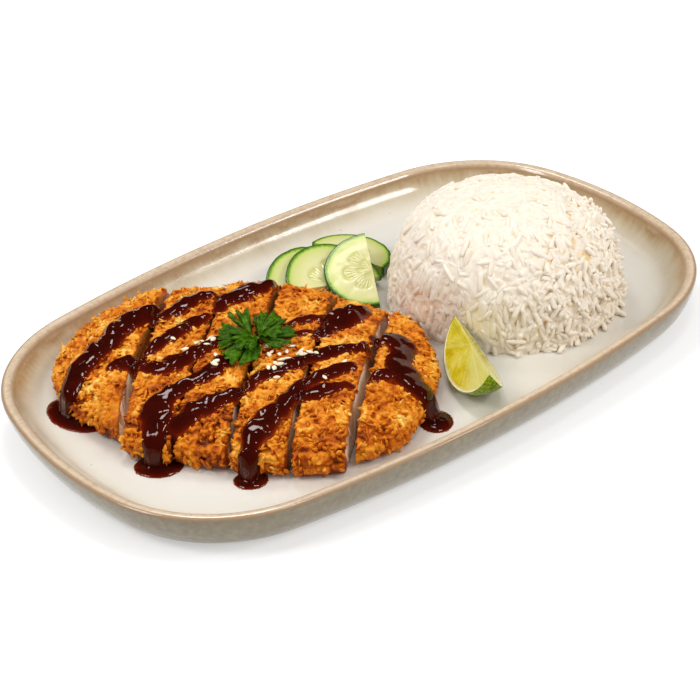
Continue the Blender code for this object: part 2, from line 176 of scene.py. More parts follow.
def random_turns(rng, count):
    """Evenly spread random rotation matrices."""
    w, x, y, z = unit_rows(rng.normal(size=(count, 4))).T
    return np.stack([
        np.stack([1 - 2 * (y * y + z * z), 2 * (x * y - z * w), 2 * (x * z + y * w)], 1),
        np.stack([2 * (x * y + z * w), 1 - 2 * (x * x + z * z), 2 * (y * z - x * w)], 1),
        np.stack([2 * (x * z - y * w), 2 * (y * z + x * w), 1 - 2 * (x * x + y * y)], 1),
    ], 1)


def frames_on(normals, headings):
    """Matrices whose columns are a heading laid on the surface, the side way and the normal."""
    across = unit_rows(np.cross(normals, headings))
    return np.stack([np.cross(across, normals), across, normals], 2)


# ---------------------------------------------------------------- meshes


def mesh_object(name, verts, faces, smooth=True):
    mesh = bpy.data.meshes.new(name)
    verts = np.asarray(verts, float)
    mesh.from_pydata(verts.tolist(), [], faces.tolist() if isinstance(faces, np.ndarray) else faces)
    mesh.update()
    if smooth:
        mesh.shade_smooth()
    obj = bpy.data.objects.new(name, mesh)
    bpy.context.scene.collection.objects.link(obj)
    return obj


def vertex_array(mesh, what="co"):
    flat = np.empty(len(mesh.vertices) * 3)
    mesh.vertices.foreach_get(what, flat)
    return flat.reshape(-1, 3)


def normal_array(mesh):
    return vertex_array(mesh, "normal")


def polygons(mesh):
    return [tuple(p.vertices) for p in mesh.polygons]


def set_values(mesh, **values):
    """Stores one number per vertex under each name, for the material to read."""
    for name, numbers in values.items():
        layer = mesh.attributes.new(name, "FLOAT", "POINT")
        layer.data.foreach_set("value", np.ascontiguousarray(numbers, np.float32))


def grid_faces(rows, columns, start=0, flip=False):
    """Quads between rows of vertices that each hold `columns` vertices."""
    faces = []
    for row, column in itertools.product(range(rows - 1), range(columns - 1)):
        a = start + row * columns + column
        quad = (a, a + columns, a + columns + 1, a + 1)
        faces.append(quad[::-1] if flip else quad)
    return faces


def ring_faces(rings, count, start=0):
    """Quads between closed rings of vertices that each hold `count` vertices."""
    faces = []
    for ring, i in itertools.product(range(rings - 1), range(count)):
        low = start + ring * count
        j = (i + 1) % count
        faces.append((low + i, low + j, low + count + j, low + count + i))
    return faces


def copies(unit_verts, unit_faces, matrices, places):
    """Many placed copies of a small mesh: all vertices, and one array of faces for each of its faces."""
    verts = np.einsum("nij,vj->nvi", matrices, unit_verts) + places[:, None, :]
    count = len(unit_verts)
    faces = []
    for face in unit_faces:
        faces.append(np.asarray(face)[None, :] + count * np.arange(len(places))[:, None])
    return verts.reshape(-1, 3), faces


def joined_copies(name, unit_verts, unit_faces, matrices, places):
    verts, face_sets = copies(unit_verts, unit_faces, matrices, places)
    faces = [face for face_set in face_sets for face in face_set.tolist()]
    return mesh_object(name, verts, faces)


def spun_grain(profile, around, squash=1.0, bend=0.0):
    """A closed grain along X from (x, radius) pairs, its first and last point on the axis."""
    verts = [(profile[0][0], 0.0, 0.0)]
    for x, radius in profile[1:-1]:
        for i in range(around):
            angle = 2 * math.pi * i / around
            verts.append((x, radius * math.cos(angle), radius * math.sin(angle) * squash))
    verts.append((profile[-1][0], 0.0, 0.0))
    faces = []
    rings = len(profile) - 2
    for i in range(around):
        j = (i + 1) % around
        faces.append((0, 1 + j, 1 + i))
        for ring in range(rings - 1):
            low, high = 1 + ring * around, 1 + (ring + 1) * around
            faces.append((low + i, low + j, high + j, high + i))
        last = 1 + (rings - 1) * around
        faces.append((last + i, last + j, len(verts) - 1))
    verts = np.array(verts)
    verts[:, 2] -= bend * verts[:, 0] ** 2
    return verts, faces


def evaluated_mesh(obj):
    """The object's mesh with its modifiers applied, as new data; the modifiers are removed."""
    graph = bpy.context.evaluated_depsgraph_get()
    mesh = bpy.data.meshes.new_from_object(obj.evaluated_get(graph))
    obj.modifiers.clear()
    old = obj.data
    obj.data = mesh
    bpy.data.meshes.remove(old)
    return mesh


def voxel_skin(obj, voxel, keep=1.0, smooth_steps=0):
    """One closed skin round everything in the object, thinned to a share of its triangles."""
    skin = obj.modifiers.new("skin", "REMESH")
    skin.mode = "VOXEL"
    skin.voxel_size = voxel
    if smooth_steps:
        relax = obj.modifiers.new("relax", "SMOOTH")
        relax.factor = 0.5
        relax.iterations = smooth_steps
    if keep < 1.0:
        thin = obj.modifiers.new("thin", "DECIMATE")
        thin.ratio = keep
    mesh = evaluated_mesh(obj)
    mesh.shade_smooth()
    return mesh


def skin_of(source, voxel):
    """(points, normals, faces) of one even closed skin round a CAD solid."""
    body = mesh_object("body", vertex_array(source), polygons(source))
    mesh = voxel_skin(body, voxel)
    skin = vertex_array(mesh), normal_array(mesh), polygons(mesh)
    bpy.data.objects.remove(body)
    return skin


def finish_faces(obj, values, join_within=0.0, fill_holes=False, sharp=None):
    """Stores values per vertex, joins and fills if asked, turns all faces outward and shades them."""
    bm = bmesh.new()
    bm.from_mesh(obj.data)
    for name, numbers in values.items():
        layer = bm.verts.layers.float.new(name)
        for vert, number in zip(bm.verts, numbers):
            vert[layer] = number
    if join_within:
        bmesh.ops.remove_doubles(bm, verts=bm.verts, dist=join_within)
    if fill_holes:
        bmesh.ops.holes_fill(bm, edges=bm.edges)
    bmesh.ops.recalc_face_normals(bm, faces=bm.faces)
    bm.to_mesh(obj.data)
    bm.free()
    obj.data.shade_smooth()
    if sharp:
        obj.data.set_sharp_from_angle(angle=sharp)


def faces_of(mesh, wanted):
    """(verts, faces) of the mesh, with only the faces for which wanted(polygon) is true."""
    return [v.co.copy() for v in mesh.vertices], [tuple(p.vertices) for p in mesh.polygons if wanted(p)]


def scatter_on(verts, faces, count, rng):
    """Random points on triangles, evenly by area, with each point's face normal."""
    verts = np.array([tuple(v) for v in verts])
    tris = np.array([(f[0], f[k], f[k + 1]) for f in faces for k in range(1, len(f) - 1)])
    a, b, c = verts[tris[:, 0]], verts[tris[:, 1]], verts[tris[:, 2]]
    cross = np.cross(b - a, c - a)
    area = np.linalg.norm(cross, axis=1)
    pick = rng.choice(len(tris), size=count, p=area / area.sum())
    u, v = rng.random(count), rng.random(count)
    flip = u + v > 1
    u[flip], v[flip] = 1 - u[flip], 1 - v[flip]
    points = a[pick] + u[:, None] * (b - a)[pick] + v[:, None] * (c - a)[pick]
    return points, cross[pick] / area[pick][:, None]


def spaced_out(points, gap):
    """Indices of points that keep at least `gap` between each other, taken in order."""
    kept = []
    grid = {}
    cells = np.floor(points / gap).astype(int)
    for index, (point, cell) in enumerate(zip(points, map(tuple, cells))):
        around = itertools.product(*((c - 1, c, c + 1) for c in cell))
        near = (other for place in around for other in grid.get(place, ()))
        if all(np.sum((points[other] - point) ** 2) >= gap * gap for other in near):
            kept.append(index)
            grid.setdefault(cell, []).append(index)
    return np.array(kept)


def point_tree(points):
    tree = KDTree(len(points))
    for i, point in enumerate(points):
        tree.insert(Vector(point), i)
    tree.balance()
    return tree


def distances(tree, points):
    """(distance, distance with a sign: minus inside) from points to a surface."""
    plain = np.empty(len(points))
    signed = np.empty(len(points))
    for i, point in enumerate(points):
        place = Vector(point)
        spot, normal, _, gap = tree.find_nearest(place)
        plain[i] = gap
        signed[i] = math.copysign(gap, (place - spot).dot(normal))
    return plain, signed


# ---------------------------------------------------------------- materials


def srgb(red, green, blue):
    """A colour from 0-255 screen values, as the shader's linear RGBA."""
    def linear(value):
        value /= 255
        return value / 12.92 if value <= 0.04045 else ((value + 0.055) / 1.055) ** 2.4
    return (linear(red), linear(green), linear(blue), 1.0)


class Look:
    """A node material under construction."""

    def __init__(self, name, **shader_values):
        """Sets shader values by their sockets' names, with "_" for each space."""
        self.material = bpy.data.materials.new(name)
        self.material.use_nodes = True
        self.tree = self.material.node_tree
        self.shader = self.tree.nodes["Principled BSDF"]
        for key, value in shader_values.items():
            self.shader.inputs[key.replace("_", " ")].default_value = value
        self.height = None

    def add(self, kind, inputs=None, **settings):
        node = self.tree.nodes.new("ShaderNode" + kind)
        for key, value in settings.items():
            setattr(node, key, value)
        for key, value in (inputs or {}).items():
            if isinstance(value, bpy.types.NodeSocket):
                self.tree.links.new(value, node.inputs[key])
            else:
                node.inputs[key].default_value = value
        return node

    def value(self, name):
        return self.add("Attribute", attribute_name=name).outputs["Fac"]

    def place(self, scale=(1.0, 1.0, 1.0)):
        coords = self.add("TexCoord").outputs["Object"]
        return self.add("Mapping", {"Vector": coords, "Scale": scale}).outputs["Vector"]

    def noise(self, size, detail=2.0, roughness=0.5, vector=None, distortion=0.0):
        """Noise whose lumps are about `size` metres across."""
        inputs = {"Scale": 1 / size, "Detail": detail, "Roughness": roughness, "Distortion": distortion}
        inputs["Vector"] = self.place() if vector is None else vector
        return self.add("TexNoise", inputs).outputs["Fac"]

    def cells(self, size):
        return self.add("TexVoronoi", {"Scale": 1 / size, "Vector": self.place()}).outputs["Distance"]

    def maths(self, operation, first, second=0.0):
        return self.add("Math", {0: first, 1: second}, operation=operation).outputs[0]

    def times(self, first, second):
        return self.maths("MULTIPLY", first, second)

    def plus(self, first, *others):
        for other in others:
            first = self.maths("ADD", first, other)
        return first

    def plane(self, first, first_scale, second, second_scale):
        """A place on a flat sheet made of two values, for noise that runs along a shape."""
        return self.add("CombineXYZ", {
            "X": self.times(first, first_scale),
            "Y": self.times(second, second_scale),
        }).outputs[0]

    def span(self, value, low, high, new_low=0.0, new_high=1.0):
        inputs = {"Value": value, "From Min": low, "From Max": high, "To Min": new_low, "To Max": new_high}
        return self.add("MapRange", inputs).outputs["Result"]

    def ramp(self, factor, stops):
        """A colour ramp from (position, (red, green, blue) from 0 to 255) stops."""
        node = self.add("ValToRGB", {"Fac": factor})
        ramp = node.color_ramp
        while len(ramp.elements) < len(stops):
            ramp.elements.new(0.5)
        for element, (position, colour) in zip(ramp.elements, stops):
            element.position = position
            element.color = srgb(*colour)
        return node.outputs["Color"]

    def mix(self, factor, first, second):
        return self.add("Mix", {0: factor, 6: first, 7: second}, data_type="RGBA").outputs[2]

    def colour(self, socket):
        self.tree.links.new(socket, self.shader.inputs["Base Color"])

    def vary(self, name, socket):
        self.tree.links.new(socket, self.shader.inputs[name])

    def bump(self, height, depth, strength=1.0):
        inputs = {"Height": height, "Distance": depth, "Strength": strength}
        if self.height is not None:
            inputs["Normal"] = self.height
        self.height = self.add("Bump", inputs).outputs["Normal"]
        self.tree.links.new(self.height, self.shader.inputs["Normal"])


def finish_piece(obj, material, replaced=()):
    """Gives a piece its material, hangs it under the root body's empty and hides the CAD parts it replaces.
    """
    obj.data.materials.clear()
    obj.data.materials.append(material)
    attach(obj, "root")
    if replaced:
        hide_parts(*replaced)
    return obj


# ---------------------------------------------------------------- plate


def plate_outline():
    """(x, y, angle of the normal, distance round) along the whole outline, made of tangent arcs."""
    end, side, corner = END_ARC_ANGLE, SIDE_ARC_ANGLE, CORNER_RADIUS
    span_x = PLATE_HALF_LENGTH - corner * (math.cos(end) - math.cos(side))
    span_y = PLATE_HALF_WIDTH - corner * (math.sin(side) - math.sin(end))
    a, b = 1 - math.cos(end), math.cos(side)
    c, d = math.sin(end), 1 - math.sin(side)
    determinant = a * d - b * c
    end_radius = (span_x * d - b * span_y) / determinant
    side_radius = (a * span_y - c * span_x) / determinant
    bounds = (0.0, end, side, math.pi / 2)
    x, y = PLATE_HALF_LENGTH, 0.0
    quarter = []
    radii = (end_radius, corner, side_radius)
    for start, stop, radius, count in zip(bounds, bounds[1:], radii, OUTLINE_STEPS):
        for i in range(count):
            angle = start + (stop - start) * i / count
            px = x + radius * (math.cos(angle) - math.cos(start))
            py = y + radius * (math.sin(angle) - math.sin(start))
            quarter.append((px, py, angle))
        x += radius * (math.cos(stop) - math.cos(start))
        y += radius * (math.sin(stop) - math.sin(start))
    quarter.append((x, y, math.pi / 2))
    left = [(-px, py, math.pi - angle) for px, py, angle in reversed(quarter[:-1])]
    upper = quarter + left
    outline = np.array(upper + [(-px, -py, angle + math.pi) for px, py, angle in upper[1:-1]])
    steps_round = np.linalg.norm(np.diff(outline[:, :2], axis=0), axis=1)
    return np.column_stack([outline, np.concatenate([[0.0], np.cumsum(steps_round)])])


def plate_profile():
    """(inset, height, side) from under the foot to the floor; side is 1 outside, 0 inside."""
    foot_inset = WALL_INSET + FOOT_WIDTH
    profile = [(FLOOR_RINGS[-1] * MM, FOOT_RECESS, 1), (foot_inset + FOOT_SLOPE * 1.2, FOOT_RECESS, 1)]
    profile += [(foot_inset + FOOT_SLOPE * 0.5, FOOT_RECESS * 0.4, 1), (foot_inset, 0.0, 1)]
    profile += [(WALL_INSET + 1.0 * MM, 0.0, 1)]
    for i in range(OUTER_WALL_STEPS - 1, 0, -1):
        angle = i / OUTER_WALL_STEPS * math.pi / 2
        inset = WALL_INSET * (1 - math.cos(angle) ** (2 / WALL_ROUNDNESS))
        height = (RIM_HEIGHT - RIM_DROP) * (1 - math.sin(angle) ** (2 / WALL_ROUNDNESS))
        profile.append((inset, height, 1))
    profile.append((0.0, RIM_HEIGHT - RIM_DROP, 1))
    profile += [(inset * MM, RIM_HEIGHT + rise * MM, 0) for inset, rise in LIP]
    wall_inset, wall_top = profile[-1][:2]
    for i in range(1, INNER_WALL_STEPS + 1):
        t = i / INNER_WALL_STEPS
        inset = wall_inset + (FLOOR_INSET - wall_inset) * t
        height = FLOOR_HEIGHT + (wall_top - FLOOR_HEIGHT) * (1 - t) ** INNER_WALL_HOLLOW
        profile.append((inset, height, 0))
    return profile + [(inset * MM, FLOOR_HEIGHT, 0) for inset in FLOOR_RINGS]


def build_plate():
    """The stoneware plate, a little uneven as thrown clay is, with its glaze zones as values."""
    outline = plate_outline()
    count = len(outline)
    profile = plate_profile()
    insets = np.array([p[0] for p in profile])
    verts = []
    zones = []
    for inset, height, outside in profile:
        ring = np.column_stack([
            outline[:, 0] - inset * np.cos(outline[:, 2]),
            outline[:, 1] - inset * np.sin(outline[:, 2]),
            np.full(count, height),
        ])
        verts.append(ring)
        flat_zones = np.full(count, inset / MM), np.full(count, outside)
        zones.append(np.column_stack([*flat_zones, outline[:, 3] / MM]))
    verts = np.concatenate(verts)
    zones = np.concatenate(zones)
    # Unevenness of the glaze; nothing is pushed out past the outline or below the foot.
    wave = lumps(verts, WAVE_LENGTH, 3) * WAVE_HEIGHT
    rise = np.where((verts[:, 2] > 1 * MM) & (insets.repeat(count) > 0.4 * MM), wave, 0.0)
    verts[:, 2] += np.where(verts[:, 2] > 21 * MM, -np.abs(rise) * 0.6, rise * 0.5)
    faces = ring_faces(len(profile), count)
    for ring, height, flip in ((0, FOOT_RECESS, True), (len(profile) - 1, FLOOR_HEIGHT, False)):
        middle = len(verts)
        verts = np.vstack([verts, [0.0, 0.0, height]])
        zones = np.vstack([zones, [100.0, 1.0 if flip else 0.0, 0.0]])
        for i in range(count):
            j = (i + 1) % count
            rim = (ring * count + i, ring * count + j)
            faces.append((rim[1], rim[0], middle) if flip else (rim[0], rim[1], middle))
    obj = mesh_object("stoneware_plate", verts, faces)
    set_values(obj.data, inset_mm=zones[:, 0], outside=zones[:, 1], round_mm=zones[:, 2])
    return finish_piece(obj, plate_material(), ("plate",))


def plate_material():
    look = Look("glazed_stoneware", Roughness=0.16, IOR=1.5, Coat_Weight=0.3, Coat_Roughness=0.06)
    inset = look.value("inset_mm")
    drift = look.span(look.noise(15 * MM, 3.0), 0.3, 0.7, -1.5, 1.5)
    # Streaks in the glaze are four times longer from the rim inwards than round it.
    streaks = look.noise(2.6 * MM, 4.0, 0.6, look.plane(look.value("round_mm"), 0.001, inset, 0.00025))
    run = look.plus(inset, look.plus(drift, look.span(streaks, 0.25, 0.75, -0.9, 0.9)))
    walls = look.ramp(look.maths("DIVIDE", run, 60.0), [
        (0.0, (188, 160, 130)), (0.080, (204, 174, 142)), (0.105, (168, 136, 100)),
        (0.135, (186, 162, 128)), (0.18, (206, 192, 166)), (0.26, (220, 210, 192)),
        (0.36, (226, 220, 208)), (0.60, (229, 225, 216)),
    ])
    band = look.ramp(look.maths("DIVIDE", inset, 24.0), [
        (0.0, (156, 126, 98)), (0.045, (176, 148, 118)), (0.085, (218, 197, 170)),
        (0.20, (208, 184, 156)), (0.25, (166, 134, 98)), (0.30, (190, 164, 128)), (1.0, (230, 226, 214)),
    ])
    worn = look.span(look.noise(2.6 * MM, 4.0, 0.65), 0.46, 0.68, 0.0, 0.36)
    band = look.mix(worn, band, srgb(152, 120, 86))
    inside = look.mix(look.span(inset, 5.6, 7.5), band, walls)
    mottle = look.noise(3.5 * MM, 4.0, 0.6)
    # The outer wall is a darker grey-beige: partly its own glaze, partly painted shade, as it gets less light
    # than the inside.
    outer = look.ramp(mottle, [(0.3, (115, 103, 81)), (0.55, (128, 117, 93)), (0.75, (141, 129, 105))])
    surface = look.mix(look.value("outside"), inside, outer)
    # Iron specks: rare dark dots of two sizes.
    fine = look.maths("LESS_THAN", look.cells(4.2 * MM), 0.045)
    coarse = look.maths("LESS_THAN", look.cells(13 * MM), 0.03)
    specks = look.maths("MAXIMUM", fine, coarse)
    surface = look.mix(look.times(specks, 0.5), surface, srgb(120, 88, 60))
    grain = look.noise(0.5 * MM, 2.0)
    outer_grain = look.times(look.value("outside"), look.span(grain, 0.35, 0.75, 0.0, 0.16))
    look.colour(look.mix(outer_grain, surface, srgb(104, 92, 74)))
    look.vary("Roughness", look.span(look.noise(9 * MM, 2.0), 0.3, 0.7, 0.12, 0.22))
    look.bump(look.noise(5 * MM, 2.0), 0.12 * MM, 0.35)
    return look.material


# ---------------------------------------------------------------- stage, camera and light


def build_stage():
    size = 3.0
    corners = [(-size, -size, 0.0), (size, -size, 0.0), (size, size, 0.0), (-size, size, 0.0)]
    floor = mesh_object("studio_floor", corners, [(0, 1, 2, 3)], smooth=False)
    look = Look("pale_floor", Roughness=0.9, Specular_IOR_Level=0.0, Base_Color=(0.7, 0.7, 0.7, 1.0),
                Emission_Color=(1.0, 1.0, 1.0, 1.0), Emission_Strength=0.4)
    floor.data.materials.append(look.material)


def build_camera():
    back = Vector((
        math.sin(CAMERA_AZIMUTH) * math.cos(CAMERA_ELEVATION),
        -math.cos(CAMERA_AZIMUTH) * math.cos(CAMERA_ELEVATION),
        math.sin(CAMERA_ELEVATION),
    ))
    right = (-back).cross(Vector((0.0, 0.0, 1.0))).normalized()
    up = right.cross(-back)
    rolled_right = right * math.cos(CAMERA_ROLL) + up * math.sin(CAMERA_ROLL)
    rolled_up = up * math.cos(CAMERA_ROLL) - right * math.sin(CAMERA_ROLL)
    camera = bpy.data.objects.new("camera", bpy.data.cameras.new("camera"))
    camera.data.lens = CAMERA_LENS
    camera.data.sensor_width = 36.0
    camera.data.clip_start = 10 * MM
    turn = Matrix((rolled_right, rolled_up, back)).transposed().to_4x4()
    camera.matrix_world = Matrix.Translation(CAMERA_TARGET + back * CAMERA_DISTANCE) @ turn
    bpy.context.scene.collection.objects.link(camera)
    bpy.context.scene.camera = camera


# Each softbox: its name, place and size in metres, its power in watts, and whether it shows in glossy
# surfaces. The others only light the food.
SOFTBOXES = (
    ("overhead_back", (-0.35, 0.8, 1.0), (0.8, 0.6), 1.7, False),
    ("window_left", (-0.78, 0.28, 0.88), (0.32, 0.4), 4.6, True),
    ("window_back", (0.22, 0.55, 0.95), (0.24, 0.3), 2.6, True),
    ("window_top", (0.2, -0.15, 1.15), (0.17, 0.2), 1.4, True),
    ("window_front", (0.55, -0.75, 0.9), (0.16, 0.22), 1.8, True),
    ("front_fill", (0.45, -1.1, 0.9), (1.2, 0.9), 7.2, False),
)
SOFTBOX_AIM = Vector((0.0, 0.0, 0.02))
WORLD_LIGHT = 0.45


def add_softbox(name, place, size, watts, mirrored):
    data = bpy.data.lights.new(name, "AREA")
    data.shape = "RECTANGLE"
    data.size, data.size_y = size
    data.energy = watts
    obj = bpy.data.objects.new(name, data)
    obj.location = place
    obj.rotation_euler = (SOFTBOX_AIM - Vector(place)).to_track_quat("-Z", "Y").to_euler()
    obj.visible_glossy = mirrored
    bpy.context.scene.collection.objects.link(obj)


def build_light():
    world = bpy.data.worlds.new("studio")
    world.use_nodes = True
    background = world.node_tree.nodes["Background"]
    background.inputs["Color"].default_value = (1.0, 1.0, 1.0, 1.0)
    background.inputs["Strength"].default_value = WORLD_LIGHT
    world.cycles_visibility.glossy = False
    bpy.context.scene.world = world
    for softbox in SOFTBOXES:
        add_softbox(*softbox)
    scene = bpy.context.scene
    scene.view_settings.view_transform = "Standard"
    scene.view_settings.look = "None"


# ---------------------------------------------------------------- cutlet


def crust_faces(mesh, index):
    """The CAD slice's crust, without its one or two cut faces."""
    def is_crust(polygon):
        lean = polygon.normal.dot(ACROSS)
        cut = (lean > 0.95 and index < 6) or (lean < -0.97 and index > 1)
        return not cut
    return faces_of(mesh, is_crust)


def crumb_shapes(rng, count):
    """(half sizes along the crumbs' own axes, which are shards) for grit, chunks and long thin shards."""
    kind = rng.random(count)
    half = rng.uniform(0.45, 0.85, (count, 3))
    for lowest, sizes in (CHUNKS, SHARDS):
        chosen = kind > lowest
        half[chosen] = np.column_stack([rng.uniform(*size, chosen.sum()) for size in sizes])
    return half * MM, kind > SHARDS[0]


def along_slice(points):
    """Places along a slice, from 0 at its near end to 1 at its far end."""
    along = points @ np.array(ALONG)
    return (along - along.min()) / np.ptp(along)


def growth(points, normals, index):
    """How far the crust is moved out at some points, in mm: at its sides and near the slice's two ends."""
    sideways = smoothstep(0.9, 0.35, normals[:, 2])
    place = along_slice(points)
    near = NEAR_END_GROWTH.get(index, 0.0) * smoothstep(0.28, 0.05, place) * sideways
    return EDGE_GROWTH * sideways + FAR_END_GROWTH.get(index, 0.0) * smoothstep(0.72, 1.0, place) + near


def closed_part(points, index, side):
    """1 where crumbs may be moved at a cut edge, less where the meat is bare; side is 1 on the right."""
    cut = index if side > 0 else index - 1
    if cut not in BARE_CUTS:
        return np.ones(len(points))
    first, last = BARE_CUTS[cut]
    place = along_slice(points)
    bare = smoothstep(first - 0.06, first, place) * smoothstep(last + 0.1, last, place)
    return 1 - (0.95 if side > 0 else 0.4) * bare


def sides_of(points, index, middle):
    """(1 on the right of a slice's middle and -1 on its left, that side's closed_part) at some points."""
    side = np.where(points @ np.array(ACROSS) > middle, 1.0, -1.0)
    return side, np.where(side > 0, closed_part(points, index, 1), closed_part(points, index, -1))


def jagged_crumbs(matrices, places, rng):
    """Angular crumbs: a handful of icosahedra with corners pushed in and out, used in turn."""
    bm = bmesh.new()
    bmesh.ops.create_icosphere(bm, subdivisions=1, radius=1.0)
    unit = np.array([tuple(v.co) for v in bm.verts])
    unit_faces = [tuple(v.index for v in f.verts) for f in bm.faces]
    bm.free()
    verts, faces, used, offset = [], [], [], 0
    for kind in range(CRUMB_KINDS):
        shape = unit * rng.uniform(*CRUMB_CORNERS, (len(unit), 1))
        chosen = np.flatnonzero(np.arange(len(places)) % CRUMB_KINDS == kind)
        some_verts, some_faces = copies(shape, unit_faces, matrices[chosen], places[chosen])
        verts.append(some_verts)
        used.append(np.repeat(chosen, len(unit)))
        for face_set in some_faces:
            faces += (face_set + offset).tolist()
        offset += len(some_verts)
    return np.vstack(verts), faces, np.concatenate(used)


def placed_crumbs(verts, crust, cut_tree, index, middle, count, loose, rng):
    """Crumbs on the crust: embedded ones to fuse with the body, or loose flakes that lie on top."""
    points, normals = scatter_on(verts, crust, count, rng)
    half, shard = crumb_shapes(rng, count)
    from_cut = distances(cut_tree, points)[0] / MM
    keep = (normals[:, 2] > -0.5) & (from_cut > rng.uniform(0.0, 0.5, count) * half[:, 0] / MM)
    points, normals, half = points[keep], normals[keep], half[keep]
    shard, from_cut = shard[keep], from_cut[keep]
    count = len(points)
    # Shards and loose flakes lie nearly flat and lift at one end.
    leaning = unit_rows(normals + (0.6 if loose else 0.45) * rng.normal(size=normals.shape))
    turns = random_turns(rng, count)
    flat = shard | loose
    turns[flat] = frames_on(leaning, rng.normal(size=(count, 3)))[flat]
    if loose:
        half = half * [1.1, 1.05, 0.85]
        rise = rng.uniform(0.0, 0.8, count)
    else:
        rise = rng.uniform(-0.35, 0.5, count) + np.where(shard, 0.4, 0.0)
    rise += 0.5 * lumps(points, 5 * MM, 50 + index) + growth(points, normals, index)
    places = points + normals * rise[:, None] * MM
    # Crumbs near a cut are moved a little way back from its edge or past it, less where the meat is bare.
    side, closed = sides_of(points, index, middle)
    over = np.where(from_cut < EDGE_ZONE, rng.uniform(*EDGE_SHIFT, count), 0.0) * closed
    places += (side * over)[:, None] * np.array(ACROSS) * MM
    places[:, 2] -= over * rng.uniform(0.0, 0.8, count) * MM
    places[:, 2] = np.maximum(places[:, 2], REST_HEIGHT + 0.3 * MM + half[:, 0] * 0.6)
    return (*jagged_crumbs(turns * half[:, None, :], places, rng), places)


def lumpy_body(source, cut_tree, index):
    """The CAD slice made uneven and a little fuller under its crust; its cut faces stay put."""
    points, outward, faces = skin_of(source, BODY_VOXEL)
    swell = -0.3 + 0.6 * lumps(points, 9 * MM, 60 + index) + 0.3 * lumps(points, 3.8 * MM, 80 + index)
    swell += growth(points, outward, index)
    swell *= smoothstep(0.0, 1.3 * MM, distances(cut_tree, points)[0])
    swell *= smoothstep(REST_HEIGHT, REST_HEIGHT + 1.5 * MM, points[:, 2])
    return points + outward * swell[:, None] * MM, faces


def build_slice(index):
    """One slice: the CAD solid, lumpy under the crust, with crumbs fused on and bare meat at open cuts."""
    name = f"katsu_slice_{index}"
    rng = np.random.default_rng(100 + index)
    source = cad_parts[name].data
    verts, crust = crust_faces(source, index)
    crust_set = set(crust)
    crust_tree = BVHTree.FromPolygons(verts, crust)
    cut_verts, cut = faces_of(source, lambda p: tuple(p.vertices) not in crust_set)
    cut_tree = BVHTree.FromPolygons(cut_verts, cut)
    body_verts, body_faces = lumpy_body(source, cut_tree, index)
    middle = body_verts.mean(axis=0) @ np.array(ACROSS)
    share = 1.0 if 1 < index < 6 else END_SLICE_SHARE
    crumb_verts, crumb_faces, _, places = placed_crumbs(
        verts, crust, cut_tree, index, middle, int(FUSED_CRUMBS * share), False, rng)
    faces = body_faces + (np.array(crumb_faces) + len(body_verts)).tolist()
    fused = mesh_object("fused", np.vstack([body_verts, crumb_verts]), faces)
    mesh = voxel_skin(fused, CRUST_VOXEL, keep=CRUST_KEPT)

    points = vertex_array(mesh)
    outward = normal_array(mesh)
    above_crust = distances(crust_tree, points)[1]
    on_cut = (np.abs(distances(cut_tree, points)[1]) < CUT_NEARNESS) & (above_crust < -CUT_DEPTH)
    on_cut &= np.abs(outward @ np.array(ACROSS)) > 0.55
    meat = on_cut & (above_crust < (-SHEATH + 0.5 * lumps(points, 2.2 * MM, 5)) * MM)
    meat &= sides_of(points, index, middle)[1] < 0.9
    grit = layered(points, 1.3 * MM, 40 + index, 2) * 0.1 * MM
    fibres = layered(points * np.array([1.0, 1.0, 2.6]), 3.2 * MM, 70 + index, 2) * 0.22 * MM
    points = points + outward * np.where(on_cut, fibres, grit)[:, None]
    tones = point_tree(places)
    own_tone = rng.normal(0.0, 1.0, len(places))
    tone = own_tone[[tones.find(Vector(p))[1] for p in points]]

    flake_verts, flake_faces, flake, _ = placed_crumbs(
        verts, crust, cut_tree, index, middle, int(LOOSE_FLAKES * share), True, rng)
    flake_tone = rng.normal(-0.7, 1.1, flake.max() + 1)[flake]
    faces = polygons(mesh) + (np.array(flake_faces) + len(points)).tolist()
    everything = np.vstack([points, flake_verts])
    obj = mesh_object(f"crumbed_slice_{index}", everything, faces)
    bpy.data.objects.remove(fused)
    extra = np.zeros(len(flake_verts))
    normals = normal_array(obj.data)
    # How far each point stands above the CAD crust, in mm, less the growth; the material paints shade where
    # it is low and light where it is high.
    proud = distances(crust_tree, everything)[1] / MM - growth(everything, normals, index)
    along = everything @ np.array(ALONG)
    set_values(
        obj.data, crumb_tone=np.concatenate([tone, flake_tone]), proud_mm=proud,
        meat=np.concatenate([meat, extra]), cut_face=np.concatenate([on_cut, extra]),
        height_mm=everything[:, 2] / MM, from_middle=np.abs(along - np.median(along)) / HALF_SLICE,
    )
    return finish_piece(obj, crust_material(), (name,))


